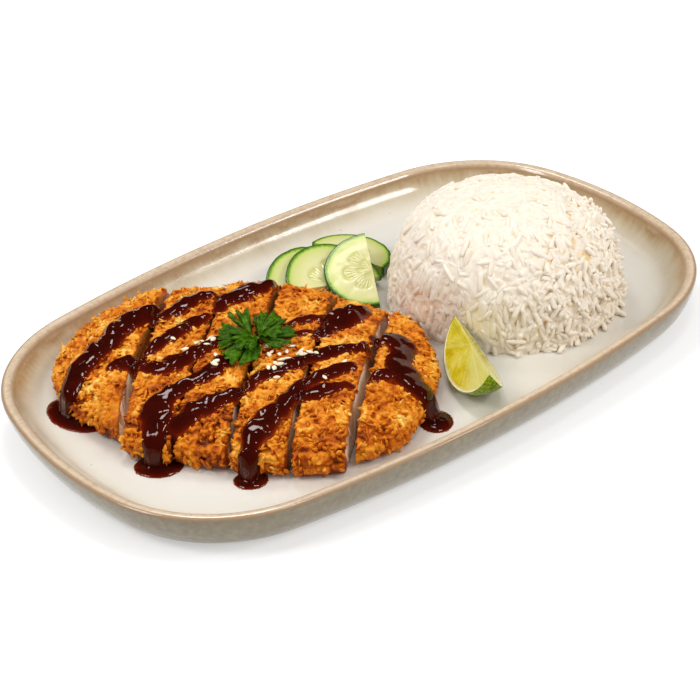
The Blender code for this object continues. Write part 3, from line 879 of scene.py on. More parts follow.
@functools.cache
def crust_material():
    look = Look("panko_crust", Roughness=0.38, IOR=1.45, Specular_IOR_Level=0.36,
                Specular_Tint=(1.0, 0.72, 0.36, 1.0), Subsurface_Weight=0.12,
                Subsurface_Radius=(1.0, 0.45, 0.15), Subsurface_Scale=0.9 * MM)
    tone = look.times(look.value("crumb_tone"), 0.072)
    patch = look.span(look.noise(13 * MM, 3.0), 0.3, 0.7, -0.27, 0.27)
    lump = look.span(look.noise(1.3 * MM, 3.0, 0.6), 0.25, 0.75, -0.08, 0.08)
    low = look.span(look.value("height_mm"), 9.0, 23.0, 0.20, 0.0)
    ends = look.span(look.value("from_middle"), 0.6, 1.0, 0.0, 0.08)
    # Crumbs sunk into the crust are painted darker, as painted shade in its crevices, and proud tips lighter,
    # as painted light.
    proud = look.span(look.value("proud_mm"), -1.0, 1.7, 0.17, -0.15)
    browning_and_painted_shade = look.plus(0.48, tone, patch, lump, low, ends, proud)
    crust = look.ramp(browning_and_painted_shade, [
        (0.06, (252, 208, 112)), (0.22, (242, 170, 58)), (0.44, (222, 130, 26)),
        (0.62, (196, 96, 15)), (0.80, (150, 62, 10)), (1.0, (92, 34, 9)),
    ])
    band = look.ramp(look.noise(0.9 * MM, 3.0), [(0.3, (122, 58, 18)), (0.7, (196, 122, 52))])
    sheath = look.mix(look.value("cut_face"), crust, band)
    stretched = look.place((1.0, 1.0, 3.0))
    threads = look.noise(1.3 * MM, 4.0, 0.6, stretched, 0.5)
    meat = look.ramp(threads, [(0.28, (240, 200, 166)), (0.5, (255, 230, 204)), (0.75, (255, 243, 226))])
    look.colour(look.mix(look.value("meat"), sheath, meat))
    look.vary("Roughness", look.span(look.value("meat"), 0.0, 1.0, 0.38, 0.34))
    look.bump(look.noise(0.5 * MM, 3.0, 0.6), 0.16 * MM, 0.5)
    return look.material


# ---------------------------------------------------------------- sauce


SAUCE_CELL = 0.6 * MM
# The part of the plate on which sauce can lie: low x, low y, high x, high y in mm.
SAUCE_AREA = (-160, -105, 25, 100)

# Poured lines of sauce: each point is (x, y, half width) in mm, with the line's own thickness in mm.
RIBBONS = (
    # over the first slice and down its left side into a pool
    (3.0, ((-76, 65, 4.5), (-83, 64.5, 6.5), (-90, 63.5, 8.2), (-98, 60, 7.6), (-105, 56, 6.2),
           (-112, 53, 6.2), (-119, 51.5, 7.2), (-127, 49, 6.6), (-134, 44.5, 5.4), (-139, 41, 5.0))),
    # over the second and third slices
    (2.8, ((-80, 59, 2.5), (-73, 55, 4.5), (-64.5, 56, 5.2), (-55, 57.5, 5.0), (-49, 55.5, 3.8))),
    (3.0, ((-55, 40, 3), (-49, 42, 5), (-40, 42.5, 7), (-31, 43, 7), (-24, 43, 5), (-19, 42, 2.5))),
    (2.6, ((-102, 30.5, 3), (-94, 33.5, 4.2), (-86, 36, 4.8), (-78, 38, 4.8), (-70, 39, 4.4),
           (-62.5, 39.2, 3))),
    (2.8, ((-117.5, 35, 4.4), (-112.5, 33, 5.4), (-108, 27, 4))),
    (2.7, ((-109, 20, 4), (-104, 15.2, 5.2), (-97, 14, 5.4), (-90, 14, 5), (-83, 14.5, 4.4), (-77, 15, 4),
           (-70, 15, 3.6), (-64, 14, 3.2))),
    # down the front of the second slice into the front pool, up to the leaves
    (2.9, ((-132, -20.5, 5.0), (-130.5, -18, 5.4), (-127.5, -14, 6.4), (-123, -9, 7.0), (-118, -5.5, 6.8),
           (-111, -4, 5.2), (-103, -4.2, 4.6), (-95, -4, 4.8), (-87, -2, 5), (-79, 0, 4.6), (-68, 2, 3.8))),
    (2.9, ((-121.5, -21.5, 4.0), (-115, -21.4, 4.8), (-108, -22, 5.0), (-100, -23, 5.2), (-93, -24, 4.8),
           (-86, -25, 3.6), (-80, -24, 3.4), (-73, -22.5, 4.4), (-66, -23, 4.8), (-58, -24, 4.6),
           (-50, -25, 4.4), (-43, -27, 4.4), (-36, -30, 4.6), (-30, -32.5, 4.4), (-24, -35.5, 3))),
    # down the front of the fourth slice into its pool
    (2.9, ((-107.5, -57, 3.8), (-104.5, -54.5, 4.2), (-99.5, -51.5, 5.2), (-93, -49.5, 6.2), (-87, -48, 6.2),
           (-80, -46.5, 5.4), (-73, -44, 4.4), (-66, -41, 3.9), (-58, -40.5, 4.2), (-51, -41.5, 4.4),
           (-44, -42.5, 4.2), (-38, -44, 3))),
    (2.5, ((-71, -46.5, 3.8), (-66, -49.5, 4.8), (-60, -50.5, 4.6), (-54, -52.5, 3.8), (-49, -56, 2.6))),
    # far lines behind the leaves
    (2.3, ((-40, 4.5, 2.5), (-33, 3.6, 3.8), (-26.5, 2, 3.6), (-21, -0.5, 2.6))),
    (2.3, ((-45, -3, 2.4), (-39, -5.3, 3.4), (-34.5, -6.8, 2.4))),
    (3.0, ((-32, -13, 4.5), (-26, -10.8, 5.8), (-19, -8.6, 8.0), (-12, -7, 8.4), (-5, -5.6, 6.2),
           (-1, -4.4, 3.5))),
    # over the last slice and down into the pool on the right
    (3.0, ((-12.5, -31.5, 4.5), (-8, -34.5, 6.6), (-6, -40, 7.2), (-10.5, -46.5, 6.0), (-16.5, -51.5, 6.6),
           (-20.5, -57, 7.6), (-21.5, -62.5, 8.0), (-21.3, -68, 6.8), (-20.4, -73, 5.6), (-19.5, -78, 4.8))),
    (2.4, ((-22, -57, 5), (-29, -57.5, 4.8), (-36, -56.5, 3.4))),
)
# Pools on the plate: (x, y, half length, half width, angle in degrees), all in mm.
POOLS = (
    (-139.0, 38.5, 18.0, 11.0, 96),
    (-132.5, -21.8, 11.3, 9.2, 137),
    (-108.2, -58.5, 7.8, 7.0, 137),
    (-19.4, -80.2, 9.2, 7.9, 58),
)
POOL_THICKNESS = 1.9
# Lines with a smaller half width than this, in mm, are thinner than the rest.
FULL_HALF_WIDTH = 4.5
# How many times deeper a pool's colour is than its thickness alone would make it.
POOL_DARKNESS = 1.7
# How far sauce on food sinks in between the crumbs, in mm, and how far it sags over the cuts.
SAUCE_SINK = 0.85
SAUCE_DIP = 1.9 * MM
# Height and reach of the fillet where a line runs into its pool, in mm.
FILLET_HEIGHT = 0.55
FILLET_REACH = 1.6
# The thinnest poured line and pool that are kept, in mm.
THINNEST_LINE = 0.06
THINNEST_POOL = 0.04


def curve_through(points, step):
    """Samples of a smooth curve through points, about `step` apart in their first two numbers."""
    points = [np.array(p, float) for p in points]
    ends = [2 * points[0] - points[1], *points, 2 * points[-1] - points[-2]]
    samples = []
    for p0, p1, p2, p3 in zip(ends, ends[1:], ends[2:], ends[3:]):
        count = max(1, int(np.linalg.norm((p2 - p1)[:2]) / step))
        for i in range(count):
            t = i / count
            square, cube = 2 * p0 - 5 * p1 + 4 * p2 - p3, 3 * p1 - p0 - 3 * p2 + p3
            samples.append(0.5 * (2 * p1 + (p2 - p0) * t + square * t * t + cube * t ** 3))
    samples.append(points[-1])
    return np.array(samples)


def shifts(grid, reach, axis):
    """The grid moved along one axis by every whole step within reach, with its edges repeated."""
    padded = np.pad(grid, [(reach, reach) if a == axis else (0, 0) for a in (0, 1)], mode="edge")
    size = grid.shape[axis]
    return [padded[k:k + size] if axis == 0 else padded[:, k:k + size] for k in range(2 * reach + 1)]


def blur(grid, radius):
    """Gaussian blur, with the radius in cells."""
    reach = int(3 * radius) + 1
    kernel = np.exp(-0.5 * (np.arange(-reach, reach + 1) / radius) ** 2)
    kernel /= kernel.sum()
    for axis in (0, 1):
        grid = sum(weight * moved for weight, moved in zip(kernel, shifts(grid, reach, axis)))
    return grid


def spread_high(grid, reach, lowest=False):
    """Each cell takes the highest, or the lowest, of the cells within a square reach."""
    pick = np.minimum if lowest else np.maximum
    for axis in (0, 1):
        grid = pick.reduce(shifts(grid, reach, axis))
    return grid


class Relief:
    """Heights of the food seen from above, on a square grid."""

    def __init__(self, pieces):
        low_x, low_y, high_x, high_y = (value * MM for value in SAUCE_AREA)
        self.xs = np.arange(low_x, high_x, SAUCE_CELL)
        self.ys = np.arange(low_y, high_y, SAUCE_CELL)
        self.food = np.full((len(self.xs), len(self.ys)), FLOOR_HEIGHT)
        for piece in pieces:
            points = vertex_array(piece.data)
            i = np.round((points[:, 0] - low_x) / SAUCE_CELL).astype(int)
            j = np.round((points[:, 1] - low_y) / SAUCE_CELL).astype(int)
            inside = (i >= 0) & (j >= 0) & (i < len(self.xs)) & (j < len(self.ys))
            np.maximum.at(self.food, (i[inside], j[inside]), points[inside, 2])
        # Cells that no vertex fell into take their neighbours' height.
        closed = spread_high(spread_high(self.food, 1), 1, lowest=True)
        self.food = np.maximum(self.food, closed)
        self.top = self.food.copy()

    def index(self, x, y):
        i = int(round((x - self.xs[0]) / SAUCE_CELL))
        j = int(round((y - self.ys[0]) / SAUCE_CELL))
        return min(max(i, 0), len(self.xs) - 1), min(max(j, 0), len(self.ys) - 1)

    def height(self, x, y):
        return self.top[self.index(x, y)]

    def smooth_height(self, x, y):
        return self.smooth_top[self.index(x, y)]


def sauce_layers(relief):
    """Thickness of the poured lines and of the pools over the whole grid, both in mm."""
    xs, ys = relief.xs / MM, relief.ys / MM
    grid_x, grid_y = np.meshgrid(xs, ys, indexing="ij")
    flat = np.column_stack([grid_x.ravel(), grid_y.ravel(), np.zeros(grid_x.size)])
    shift_x = layered(flat, 8.0, 11, 2).reshape(grid_x.shape)
    shift_y = layered(flat, 8.0, 23, 2).reshape(grid_x.shape)
    ragged_x = 0.8 * lumps(flat, 2.6, 41).reshape(grid_x.shape)
    ragged_y = 0.8 * lumps(flat, 2.6, 43).reshape(grid_x.shape)
    warped_x, warped_y = grid_x + shift_x + ragged_x, grid_y + shift_y + ragged_y
    lines = np.zeros(grid_x.shape)
    for height, points in RIBBONS:
        samples = curve_through(points, 1.0)
        swell = 0.99 + 0.17 * lumps(np.column_stack([samples[:, :2], np.zeros(len(samples))]), 7.0, 31)
        for (x, y, half), grow in zip(samples, swell):
            half = half * grow
            reach = half + 3
            i0, i1 = np.searchsorted(xs, (x - reach, x + reach))
            j0, j1 = np.searchsorted(ys, (y - reach, y + reach))
            window = np.s_[i0:i1, j0:j1]
            gap = ((warped_x[window] - x) ** 2 + (warped_y[window] - y) ** 2) / half ** 2
            stamp = height * min(1.0, half / FULL_HALF_WIDTH) * np.sqrt(np.clip(1 - gap, 0.0, 1.0))
            lines[window] = np.maximum(lines[window], stamp)
    lines *= 0.86 + 0.2 * lumps(flat, 4.8, 47).reshape(grid_x.shape)
    pools = np.zeros(grid_x.shape)
    for x, y, half_length, half_width, angle in POOLS:
        turn = math.radians(angle)
        shifted_x, shifted_y = grid_x + 0.3 * shift_x - x, grid_y + 0.3 * shift_y - y
        u = shifted_x * math.cos(turn) + shifted_y * math.sin(turn)
        v = shifted_y * math.cos(turn) - shifted_x * math.sin(turn)
        gap = (u / half_length) ** 2 + (v / half_width) ** 2
        pools = np.maximum(pools, POOL_THICKNESS * np.clip(1 - gap ** 1.15, 0.0, 1.0) ** 0.62)
    return blur(lines, 0.9), blur(pools, 0.6)


def sauce_heights(relief):
    """(surface, underside, wet cells, depth in mm) of the sauce; it is added to the relief's heights."""
    lines, pools = sauce_layers(relief)
    food = relief.food
    bridged = spread_high(spread_high(food, 4), 4, lowest=True)
    # Over a cut the sauce hangs a little lower than the crust on either side.
    bed = np.maximum(food, bridged - SAUCE_DIP)
    on_food = smoothstep(FLOOR_HEIGHT + 0.5 * MM, FLOOR_HEIGHT + 4 * MM, bed)
    # The bed runs over the crumbs' tips and stands off steep sides, where the sauce then hangs thick.
    # It is lowered once more over the cuts.
    in_cut = blur(smoothstep(2 * MM, 7 * MM, bridged - food), 1.0)
    bed = blur(spread_high(bed, 2), 2.0) - SAUCE_DIP * in_cut
    sink = (0.1 + (SAUCE_SINK - 0.1) * blur(on_food, 1.5)) * MM
    in_line, in_pool = lines > THINNEST_LINE, pools > THINNEST_POOL
    poured = np.where(in_line, bed + lines * MM - sink, FLOOR_HEIGHT)
    pooled = np.where(in_pool, FLOOR_HEIGHT + pools * MM, FLOOR_HEIGHT)
    wet = in_line | in_pool
    # Where a line runs into its pool, the two meet in a small fillet.
    apart = np.abs(poured - pooled) / MM
    fillet = np.where(in_line & in_pool, FILLET_HEIGHT * np.exp(-(apart / FILLET_REACH) ** 2), 0.0)
    surface = np.maximum(poured, pooled) + fillet * MM
    relief.top = np.where(wet, np.maximum(surface, food), food)
    relief.smooth_top = blur(np.maximum(relief.top, bridged - 0.5 * MM), 2.0)
    underside = np.where(in_line, np.minimum(bed - 1.2 * MM, surface - 0.3 * MM), FLOOR_HEIGHT)
    underside = np.maximum(underside, FLOOR_HEIGHT - 0.25 * MM)
    surface = np.maximum(surface, underside + 0.05 * MM)
    depth = np.where(pooled > poured, POOL_DARKNESS * pools, np.maximum(lines, pools))
    return surface, underside, wet, depth


def closed_sheet(relief, surface, underside, wet):
    """(verts, faces, used cells) of one closed skin between two heights, where the cells are wet."""
    cells = wet[:-1, :-1] & wet[1:, :-1] & wet[:-1, 1:] & wet[1:, 1:]
    used = np.zeros(wet.shape, bool)
    for di, dj in itertools.product((0, 1), repeat=2):
        used[di:di + cells.shape[0], dj:dj + cells.shape[1]] |= cells
    number = np.full(wet.shape, -1)
    number[used] = np.arange(used.sum())
    grid_x, grid_y = np.meshgrid(relief.xs, relief.ys, indexing="ij")
    upper = np.column_stack([grid_x[used], grid_y[used], surface[used]])
    lower = np.column_stack([grid_x[used], grid_y[used], underside[used]])
    count = len(upper)
    i, j = np.nonzero(cells)
    a, b, c, d = number[i, j], number[i + 1, j], number[i + 1, j + 1], number[i, j + 1]
    top_faces = np.column_stack([a, b, c, d])
    faces = [top_faces, top_faces[:, ::-1] + count]
    padded = np.pad(cells, 1)
    borders = (((0, -1), (a, b)), ((1, 0), (b, c)), ((0, 1), (c, d)), ((-1, 0), (d, a)))
    for (di, dj), (first, second) in borders:
        open_side = ~padded[i + 1 + di, j + 1 + dj]
        first, second = first[open_side], second[open_side]
        faces.append(np.column_stack([second, first, first + count, second + count]))
    return np.vstack([upper, lower]), np.vstack(faces), used


def build_sauce(relief):
    """The poured sauce as one glossy skin that follows the crust loosely and dips into the cuts."""
    surface, underside, wet, depth = sauce_heights(relief)
    verts, faces, used = closed_sheet(relief, surface, underside, wet)
    obj = mesh_object("poured_sauce", verts, faces)
    set_values(obj.data, depth_mm=np.tile(depth[used], 2))
    puddles = [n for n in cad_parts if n.startswith("sauce_puddle")]
    return finish_piece(obj, sauce_material(), sorted(puddles))


def sauce_material():
    look = Look("tonkatsu_sauce", Roughness=0.06, IOR=1.45, Specular_IOR_Level=0.42,
                Specular_Tint=(1.0, 0.84, 0.8, 1.0), Subsurface_Weight=0.15,
                Subsurface_Radius=(1.0, 0.15, 0.04), Subsurface_Scale=1.5 * MM)
    depth = look.maths("DIVIDE", look.value("depth_mm"), 3.0)
    look.colour(look.ramp(depth, [
        (0.0, (196, 104, 24)), (0.05, (158, 62, 14)), (0.14, (120, 36, 10)),
        (0.30, (86, 20, 7)), (0.6, (64, 12, 5)), (1.0, (44, 9, 5)),
    ]))
    look.bump(look.noise(5.5 * MM, 1.5), 0.5 * MM, 0.7)
    return look.material


# ---------------------------------------------------------------- sesame


# Place of each seed: (x, y) in mm.
SEEDS = (
    (-86, 32), (-87, 20), (-75, 19), (-76, 23), (-74.5, 14.8), (-78.6, 14), (-81, 3.3), (-85.7, -2),
    (-84.2, -1), (-57.5, -5), (-58.6, -9.5), (-54, -8.2), (-53.5, -14.4), (-57.8, -14.7), (-59.5, -18.6),
    (-57, -19.9), (-63, -18.5), (-63.6, -23.3), (-67.5, -23.9), (-69, -21.3), (-69.3, -27.9), (-47.8, -17.7),
    (-51.6, -21.9), (-51.7, -25.2), (-48, -25.4), (-45.7, -27.2), (-39.7, -40.4), (-54.3, -44.4),
    (-49.3, -12.7), (-61, -11), (-50.5, -9), (-71.5, 21.5), (-79.5, 22),
)
# Half outline of a seed from its blunt end to its tip, as (x, radius) in mm.
SEED_PROFILE = (
    (-1.95, 0), (-1.8, 0.46), (-1.2, 0.86), (-0.3, 1.1), (0.55, 1.0), (1.35, 0.56), (1.85, 0.22), (1.95, 0),
)
# Corners round a seed, and its thickness as a share of its width.
SEED_SIDES = 10
SEED_SQUASH = 0.55


def build_sesame(relief):
    rng = np.random.default_rng(5)
    profile = [(x * MM, r * MM) for x, r in SEED_PROFILE]
    verts, faces = spun_grain(profile, SEED_SIDES, squash=SEED_SQUASH)
    places, matrices = [], []
    for x, y in SEEDS:
        way = rng.uniform(0, math.pi * 2)
        heading = np.array([math.cos(way), math.sin(way), rng.uniform(-0.3, 0.3)])
        normal = np.array([rng.uniform(-0.35, 0.35), rng.uniform(-0.35, 0.35), 1.0])
        normal /= np.linalg.norm(normal)
        places.append((x * MM, y * MM, relief.height(x * MM, y * MM) + 0.45 * MM))
        matrices.append(frames_on(normal[None], heading[None])[0] * rng.uniform(0.88, 1.1))
    obj = joined_copies("sesame_seeds", verts, faces, np.array(matrices), np.array(places))
    look = Look("hulled_sesame", Roughness=0.45, IOR=1.45)
    tint = look.noise(2.5 * MM, 2.0)
    look.colour(look.ramp(tint, [(0.3, (238, 216, 176)), (0.6, (250, 238, 212))]))
    look.bump(look.noise(0.5 * MM, 2.0), 0.05 * MM, 0.5)
    return finish_piece(obj, look.material)


# ---------------------------------------------------------------- rice


RICE_CENTRE = Vector((79, -20.5, 9.3)) * MM
# Cell sizes of the skins round the heap and round the core with its grains, and the triangles' share kept.
HEAP_VOXEL = 1.3 * MM
CORE_VOXEL = 0.62 * MM
CORE_KEPT = 0.5
# Half outline of a cooked grain, as (x, radius) in mm.
GRAIN_PROFILE = ((-4.9, 0), (-4.65, 0.82), (-3.4, 1.24), (0, 1.4), (3.3, 1.26), (4.6, 0.86), (4.9, 0))
# Corners round a grain, its thickness as a share of its width, and its bend.
GRAIN_SIDES = 7
GRAIN_SQUASH = 0.86
GRAIN_BEND = 11.0
# Beds of grains stuck to the core: smallest gap, height over the CAD heap's skin and its spread, in mm.
STUCK_BEDS = ((2.7, -1.6, 0.25), (3.1, -1.15, 0.3))
STUCK_TRIES = 24000
# Layers of whole grains: the same three, the share kept where pressed and how much more where loose.
WHOLE_LAYERS = ((3.9, -1.2, 0.25, 0.4, 0.6), (4.3, -0.45, 0.45, 0.01, 0.9))
WHOLE_TRIES = 20000
# A crease down the heap's top and front, where its right part has slipped a little: points in mm.
RICE_FISSURE = (
    (105.5, -33.4, 60.6), (99.2, -42.1, 60.8), (93.4, -50.2, 59.7), (87.7, -56.9, 57.4), (85.7, -62.4, 53.4),
    (86.5, -66.4, 48.7), (88.7, -69.0, 44.5), (90.9, -70.8, 39.9),
)


# The crease's depth and half width, and the depth and reach of the slip on its right, in mm.
CREASE_DEPTH = 2.6
CREASE_WIDTH = 1.6
SLIP_DEPTH = 2.0
SLIP_REACH = 13
# Farther than this from the crease, in mm, the heap is not pulled in by it.
CREASE_END = 30
CAMERA_RIGHT = Vector((0.81, -0.59, 0.0))


def looseness(points):
    """0 where the heap is pressed smooth, 1 where its grains lie loose, low on the camera's right."""
    x, y, z = (points[:, i] / MM for i in range(3))
    toward = (x - RICE_CENTRE.x / MM) * 0.55 - (y - RICE_CENTRE.y / MM) * 0.835
    return smoothstep(2, 34, toward) * smoothstep(66, 40, z)


def heap_sink(points):
    """How far the heap's skin is pulled in, in mm: in hollows, along the crease and past it."""
    crease = curve_through(RICE_FISSURE, 1.0) * MM
    tree = point_tree(crease)
    sink = 0.5 - 0.9 * lumps(points, 15 * MM, 6) - 0.4 * lumps(points, 7 * MM, 9)
    for i, point in enumerate(points):
        place = Vector(point)
        spot, _, gap = tree.find(place)
        gap /= MM
        if gap < CREASE_END:
            pull = CREASE_DEPTH * math.exp(-(gap / CREASE_WIDTH) ** 2)
            if (place - spot).dot(CAMERA_RIGHT) > 0:
                pull += SLIP_DEPTH * math.exp(-(gap / SLIP_REACH) ** 2)
            sink[i] += pull
    return sink


def heap_core(source):
    """The CAD heap, pulled in under the grains: a little where pressed, more where they lie loose."""
    points, outward, faces = skin_of(source, HEAP_VOXEL)
    sink = 1.35 + 0.9 * looseness(points) + heap_sink(points) + 0.3 * lumps(points, 6 * MM, 2)
    sink *= smoothstep(REST_HEIGHT, REST_HEIGHT + 1 * MM, points[:, 2])
    return points - outward * sink[:, None] * MM, faces


def rice_layer(verts, faces, gap, tries, rng, shares=None):
    """(points, normals, matrices, looseness) of grains spread over the heap at least `gap` apart."""
    points, normals = scatter_on(verts, faces, tries, rng)
    loose = looseness(points)
    if shares:
        chosen = rng.random(tries) < shares[0] + shares[1] * loose
        points, normals, loose = points[chosen], normals[chosen], loose[chosen]
    chosen = spaced_out(points, gap)
    points, normals, loose = points[chosen], normals[chosen], loose[chosen]
    count = len(points)
    headings = rng.normal(size=(count, 3))
    headings[:, 2] += 0.9 * np.sign(headings[:, 2]) * (1 - np.abs(normals[:, 2]))
    lean = unit_rows(normals + (0.08 + 0.52 * loose)[:, None] * rng.normal(size=(count, 3)))
    matrices = frames_on(lean, headings)
    scale = rng.uniform(0.86, 1.08, (count, 1, 1)) * np.ones((1, 1, 3))
    scale[:, 0, 0] *= rng.uniform(0.78, 1.1, count)
    scale[:, 0, 2] *= rng.uniform(0.9, 1.1, count)
    return points, normals, matrices * scale, loose


def build_rice():
    """Real grains over a smaller core, pressed flush on top and looser low down at the front."""
    rng = np.random.default_rng(11)
    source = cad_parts["rice_mound"].data
    verts, faces = faces_of(source, lambda p: p.normal.z > -0.5)
    skin_tree = BVHTree.FromPolygons([Vector(v) for v in verts], faces)
    profile = [(x * MM, r * MM) for x, r in GRAIN_PROFILE]
    grain = spun_grain(profile, GRAIN_SIDES, squash=GRAIN_SQUASH, bend=GRAIN_BEND)
    build_rice_core(heap_core(source), (verts, faces), skin_tree, grain, rng)
    build_rice_grains((verts, faces), skin_tree, grain, rng)


def build_rice_core(heap, skin, skin_tree, grain, rng):
    """The heap a little smaller than in the CAD, with grains stuck to it and to each other."""
    core_verts, core_faces = heap
    all_verts, all_faces = [core_verts], list(core_faces)
    offset = len(core_verts)
    for gap, depth, spread in STUCK_BEDS:
        points, normals, matrices, loose = rice_layer(*skin, gap * MM, STUCK_TRIES, rng)
        lift = depth + rng.normal(0, spread, len(points)) - heap_sink(points) - 0.35 * loose
        places = points + normals * lift[:, None] * MM
        places[:, 2] = np.maximum(places[:, 2], REST_HEIGHT + 1.0 * MM)
        stuck_verts, stuck_faces = copies(*grain, matrices, places)
        all_verts.append(stuck_verts)
        for face_set in stuck_faces:
            all_faces += (face_set + offset).tolist()
        offset += len(stuck_verts)
    core = mesh_object("rice_core", np.vstack(all_verts), all_faces)
    mesh = voxel_skin(core, CORE_VOXEL, keep=CORE_KEPT, smooth_steps=1)
    points = vertex_array(mesh)
    # How deep each point lies under the CAD heap's skin, in mm; the material paints the deeper parts with the
    # gaps' shade.
    set_values(mesh, under_mm=-distances(skin_tree, points)[1] / MM - heap_sink(points))
    finish_piece(core, rice_material(), ("rice_mound",))


def build_rice_grains(skin, skin_tree, grain, rng):
    """Whole grains over the core: a few flush ones on top, heaped ones low down at the front."""
    places, matrices, outward = [], [], []
    for gap, depth, spread, *shares in WHOLE_LAYERS:
        points, normals, turns, loose = rice_layer(*skin, gap * MM, WHOLE_TRIES, rng, shares)
        lift = depth + rng.normal(0, spread, len(points)) * (0.6 + loose) + 0.2 * loose - heap_sink(points)
        places.append(points + normals * lift[:, None] * MM)
        matrices.append(turns)
        outward.append(normals)
    # A few grains have rolled off the foot of the heap.
    foot = (points[:, 2] < 16 * MM) & (loose > 0.25) & (rng.random(len(points)) < 0.3)
    rolled = points[foot] + normals[foot] * rng.uniform(-2.5, 0.6, (foot.sum(), 1)) * MM
    rolled[:, 2] = REST_HEIGHT + 1.1 * MM
    places = np.vstack([*places, rolled])
    outward = np.vstack([*outward, normals[foot]])
    turns = frames_on(np.array([[0.0, 0.0, 1.0]] * len(rolled)), rng.normal(size=(len(rolled), 3)))
    matrices = np.concatenate([*matrices, turns])
    places[:, 2] = np.maximum(places[:, 2], REST_HEIGHT + 1.0 * MM)
    grains = joined_copies("rice_grains", *grain, matrices, places)
    points = vertex_array(grains.data)
    under = -distances(skin_tree, points)[1] / MM - heap_sink(points)
    # The side of each grain that faces into the heap lies in a gap between its neighbours, where the material
    # paints shade.
    count = len(grain[0])
    offsets = points - np.repeat(places, count, axis=0)
    inward = -np.einsum("ij,ij->i", offsets, np.repeat(outward, count, axis=0))
    set_values(grains.data, under_mm=under + 0.8 + 0.9 * inward / MM)
    finish_piece(grains, rice_material())


@functools.cache
def rice_material():
    look = Look("steamed_rice", Roughness=0.34, IOR=1.4, Specular_Tint=(1.0, 0.96, 0.88, 1.0),
                Subsurface_Weight=0.15, Subsurface_Radius=(1.0, 1.0, 1.0), Subsurface_Scale=0.6 * MM)
    tint = look.noise(4 * MM, 3.0, 0.6)
    bright = look.ramp(tint, [(0.3, (241, 228, 209)), (0.65, (247, 237, 222))])
    # Deep in the heap, and on the sides of grains that face into it, the rice is painted a warm tan: painted
    # shade of the gaps between the grains.
    deep = look.span(look.value("under_mm"), 0.4, 2.3, 0.0, 1.0)
    look.colour(look.mix(deep, bright, srgb(244, 212, 146)))
    look.bump(look.noise(0.7 * MM, 2.0), 0.05 * MM, 0.5)
    return look.material


# ---------------------------------------------------------------- cucumber


# As in the CAD: centre of the straight edge in mm, lean, way of the lean and direction of the straight
# edge in degrees, radius and thickness in mm. Then how many degrees the seed lobes are turned.
CUCUMBERS = (
    ((10.9, 52.1, 15.1), 16.0, 268.4, 331.5, 24.7, 3.0, 20),
    ((17.2, 44.1, 18.3), 13.5, 265.4, 339.9, 25.0, 3.0, -8),
    ((32.3, 29.7, 22.3), 18.5, 228.3, 58.7, 24.8, 3.0, 4),
    ((37.8, 57.2, 16.4), 5.5, 333.2, 287.4, 22.8, 5.0, 30),
)
# Seed lobes of a cucumber slice: direction and half width in degrees, first and last radius as shares.
LOBES = ((36, 25, 0.06, 0.60), (90, 26, 0.10, 0.64), (144, 25, 0.06, 0.60))
SEEDS_PER_LOBE = 5
# A cucumber seed's place, half width and half length, each between two shares of the radius.
SEED_PLACE = (0.34, 0.44)
SEED_WIDTH = (0.024, 0.034)
SEED_LENGTH = (0.10, 0.15)
# Steps round the bow, rings on the cut face and on the back.
BOW_STEPS = 96
FACE_RINGS = 40
BACK_RINGS = 8
# How far each slice reaches past half a round, in mm.
PAST_HALF = (5.5, 7.0, 0.0, 0.0)


def leaning_frame(centre, lean, lean_way, edge_way):
    """A matrix whose X runs along the straight edge and whose Z is the leaning face's normal."""
    lean, lean_way, edge_way = (math.radians(v) for v in (lean, lean_way, edge_way))
    leaning = Vector((math.cos(lean_way), math.sin(lean_way), 0.0)) * math.sin(lean)
    normal = leaning + Vector((0.0, 0.0, math.cos(lean)))
    edge = Vector((math.cos(edge_way), math.sin(edge_way), 0.0))
    edge = (edge - normal * edge.dot(normal)).normalized()
    side = normal.cross(edge)
    turn = Matrix((edge, side, normal)).transposed().to_4x4()
    return Matrix.Translation(Vector(centre) * MM) @ turn


def seed_fields(share, angle, turned, rng):
    """(lobe, seed) masks from 0 to 1 on a cut face, from radius shares and angles in degrees."""
    lobe = np.zeros(len(share))
    seed = np.zeros(len(share))
    for direction, half_width, first, last in LOBES:
        off = angle - direction - turned
        across_lobe = np.abs(off) / half_width
        along_lobe = np.abs(share - (first + last) / 2) / ((last - first) / 2)
        lobe = np.maximum(lobe, 1 - smoothstep(0.78, 1.0, (across_lobe ** 3 + along_lobe ** 3) ** (1 / 3)))
        for k in range(SEEDS_PER_LOBE):
            at = direction + turned + half_width * (2 * (k + 0.5) / SEEDS_PER_LOBE - 1) * 0.86
            middle = rng.uniform(*SEED_PLACE)
            side = np.radians(angle - at) * share / rng.uniform(*SEED_WIDTH)
            length = (share - middle) / rng.uniform(*SEED_LENGTH)
            seed = np.maximum(seed, 1 - smoothstep(0.6, 1.1, np.sqrt(side ** 2 + length ** 2)))
    return lobe, seed * lobe


def half_round_points(index, radius, thickness):
    """(verts, radius share and angle of each, vertices per row) of a half round with a knobbly rind."""
    angles = np.linspace(0, math.pi, BOW_STEPS + 1)
    knobs = 1 + 0.008 * layered(np.column_stack([angles * 6, angles * 0, angles * 0 + index]), 1.0, index, 2)
    knobs -= 0.010
    profile = [(k / FACE_RINGS * 0.972, 0.0) for k in range(FACE_RINGS + 1)]
    profile += [(0.988, -0.1), (0.998, -0.4), (1.0, -0.5 * thickness)]
    profile += [(0.996, 0.4 - thickness), (0.975, -thickness)]
    profile += [((BACK_RINGS - k) / BACK_RINGS * 0.94, -thickness) for k in range(BACK_RINGS + 1)]
    verts, shares, sides = [], [], []
    for angle, knob in zip(angles, knobs):
        for share, level in profile:
            reach = radius * (share if share < 0.9 else share * knob) * MM
            verts.append((reach * math.cos(angle), reach * math.sin(angle), level * MM))
            shares.append(share)
            sides.append(angle)
    return np.array(verts), np.array(shares), np.degrees(sides), len(profile)


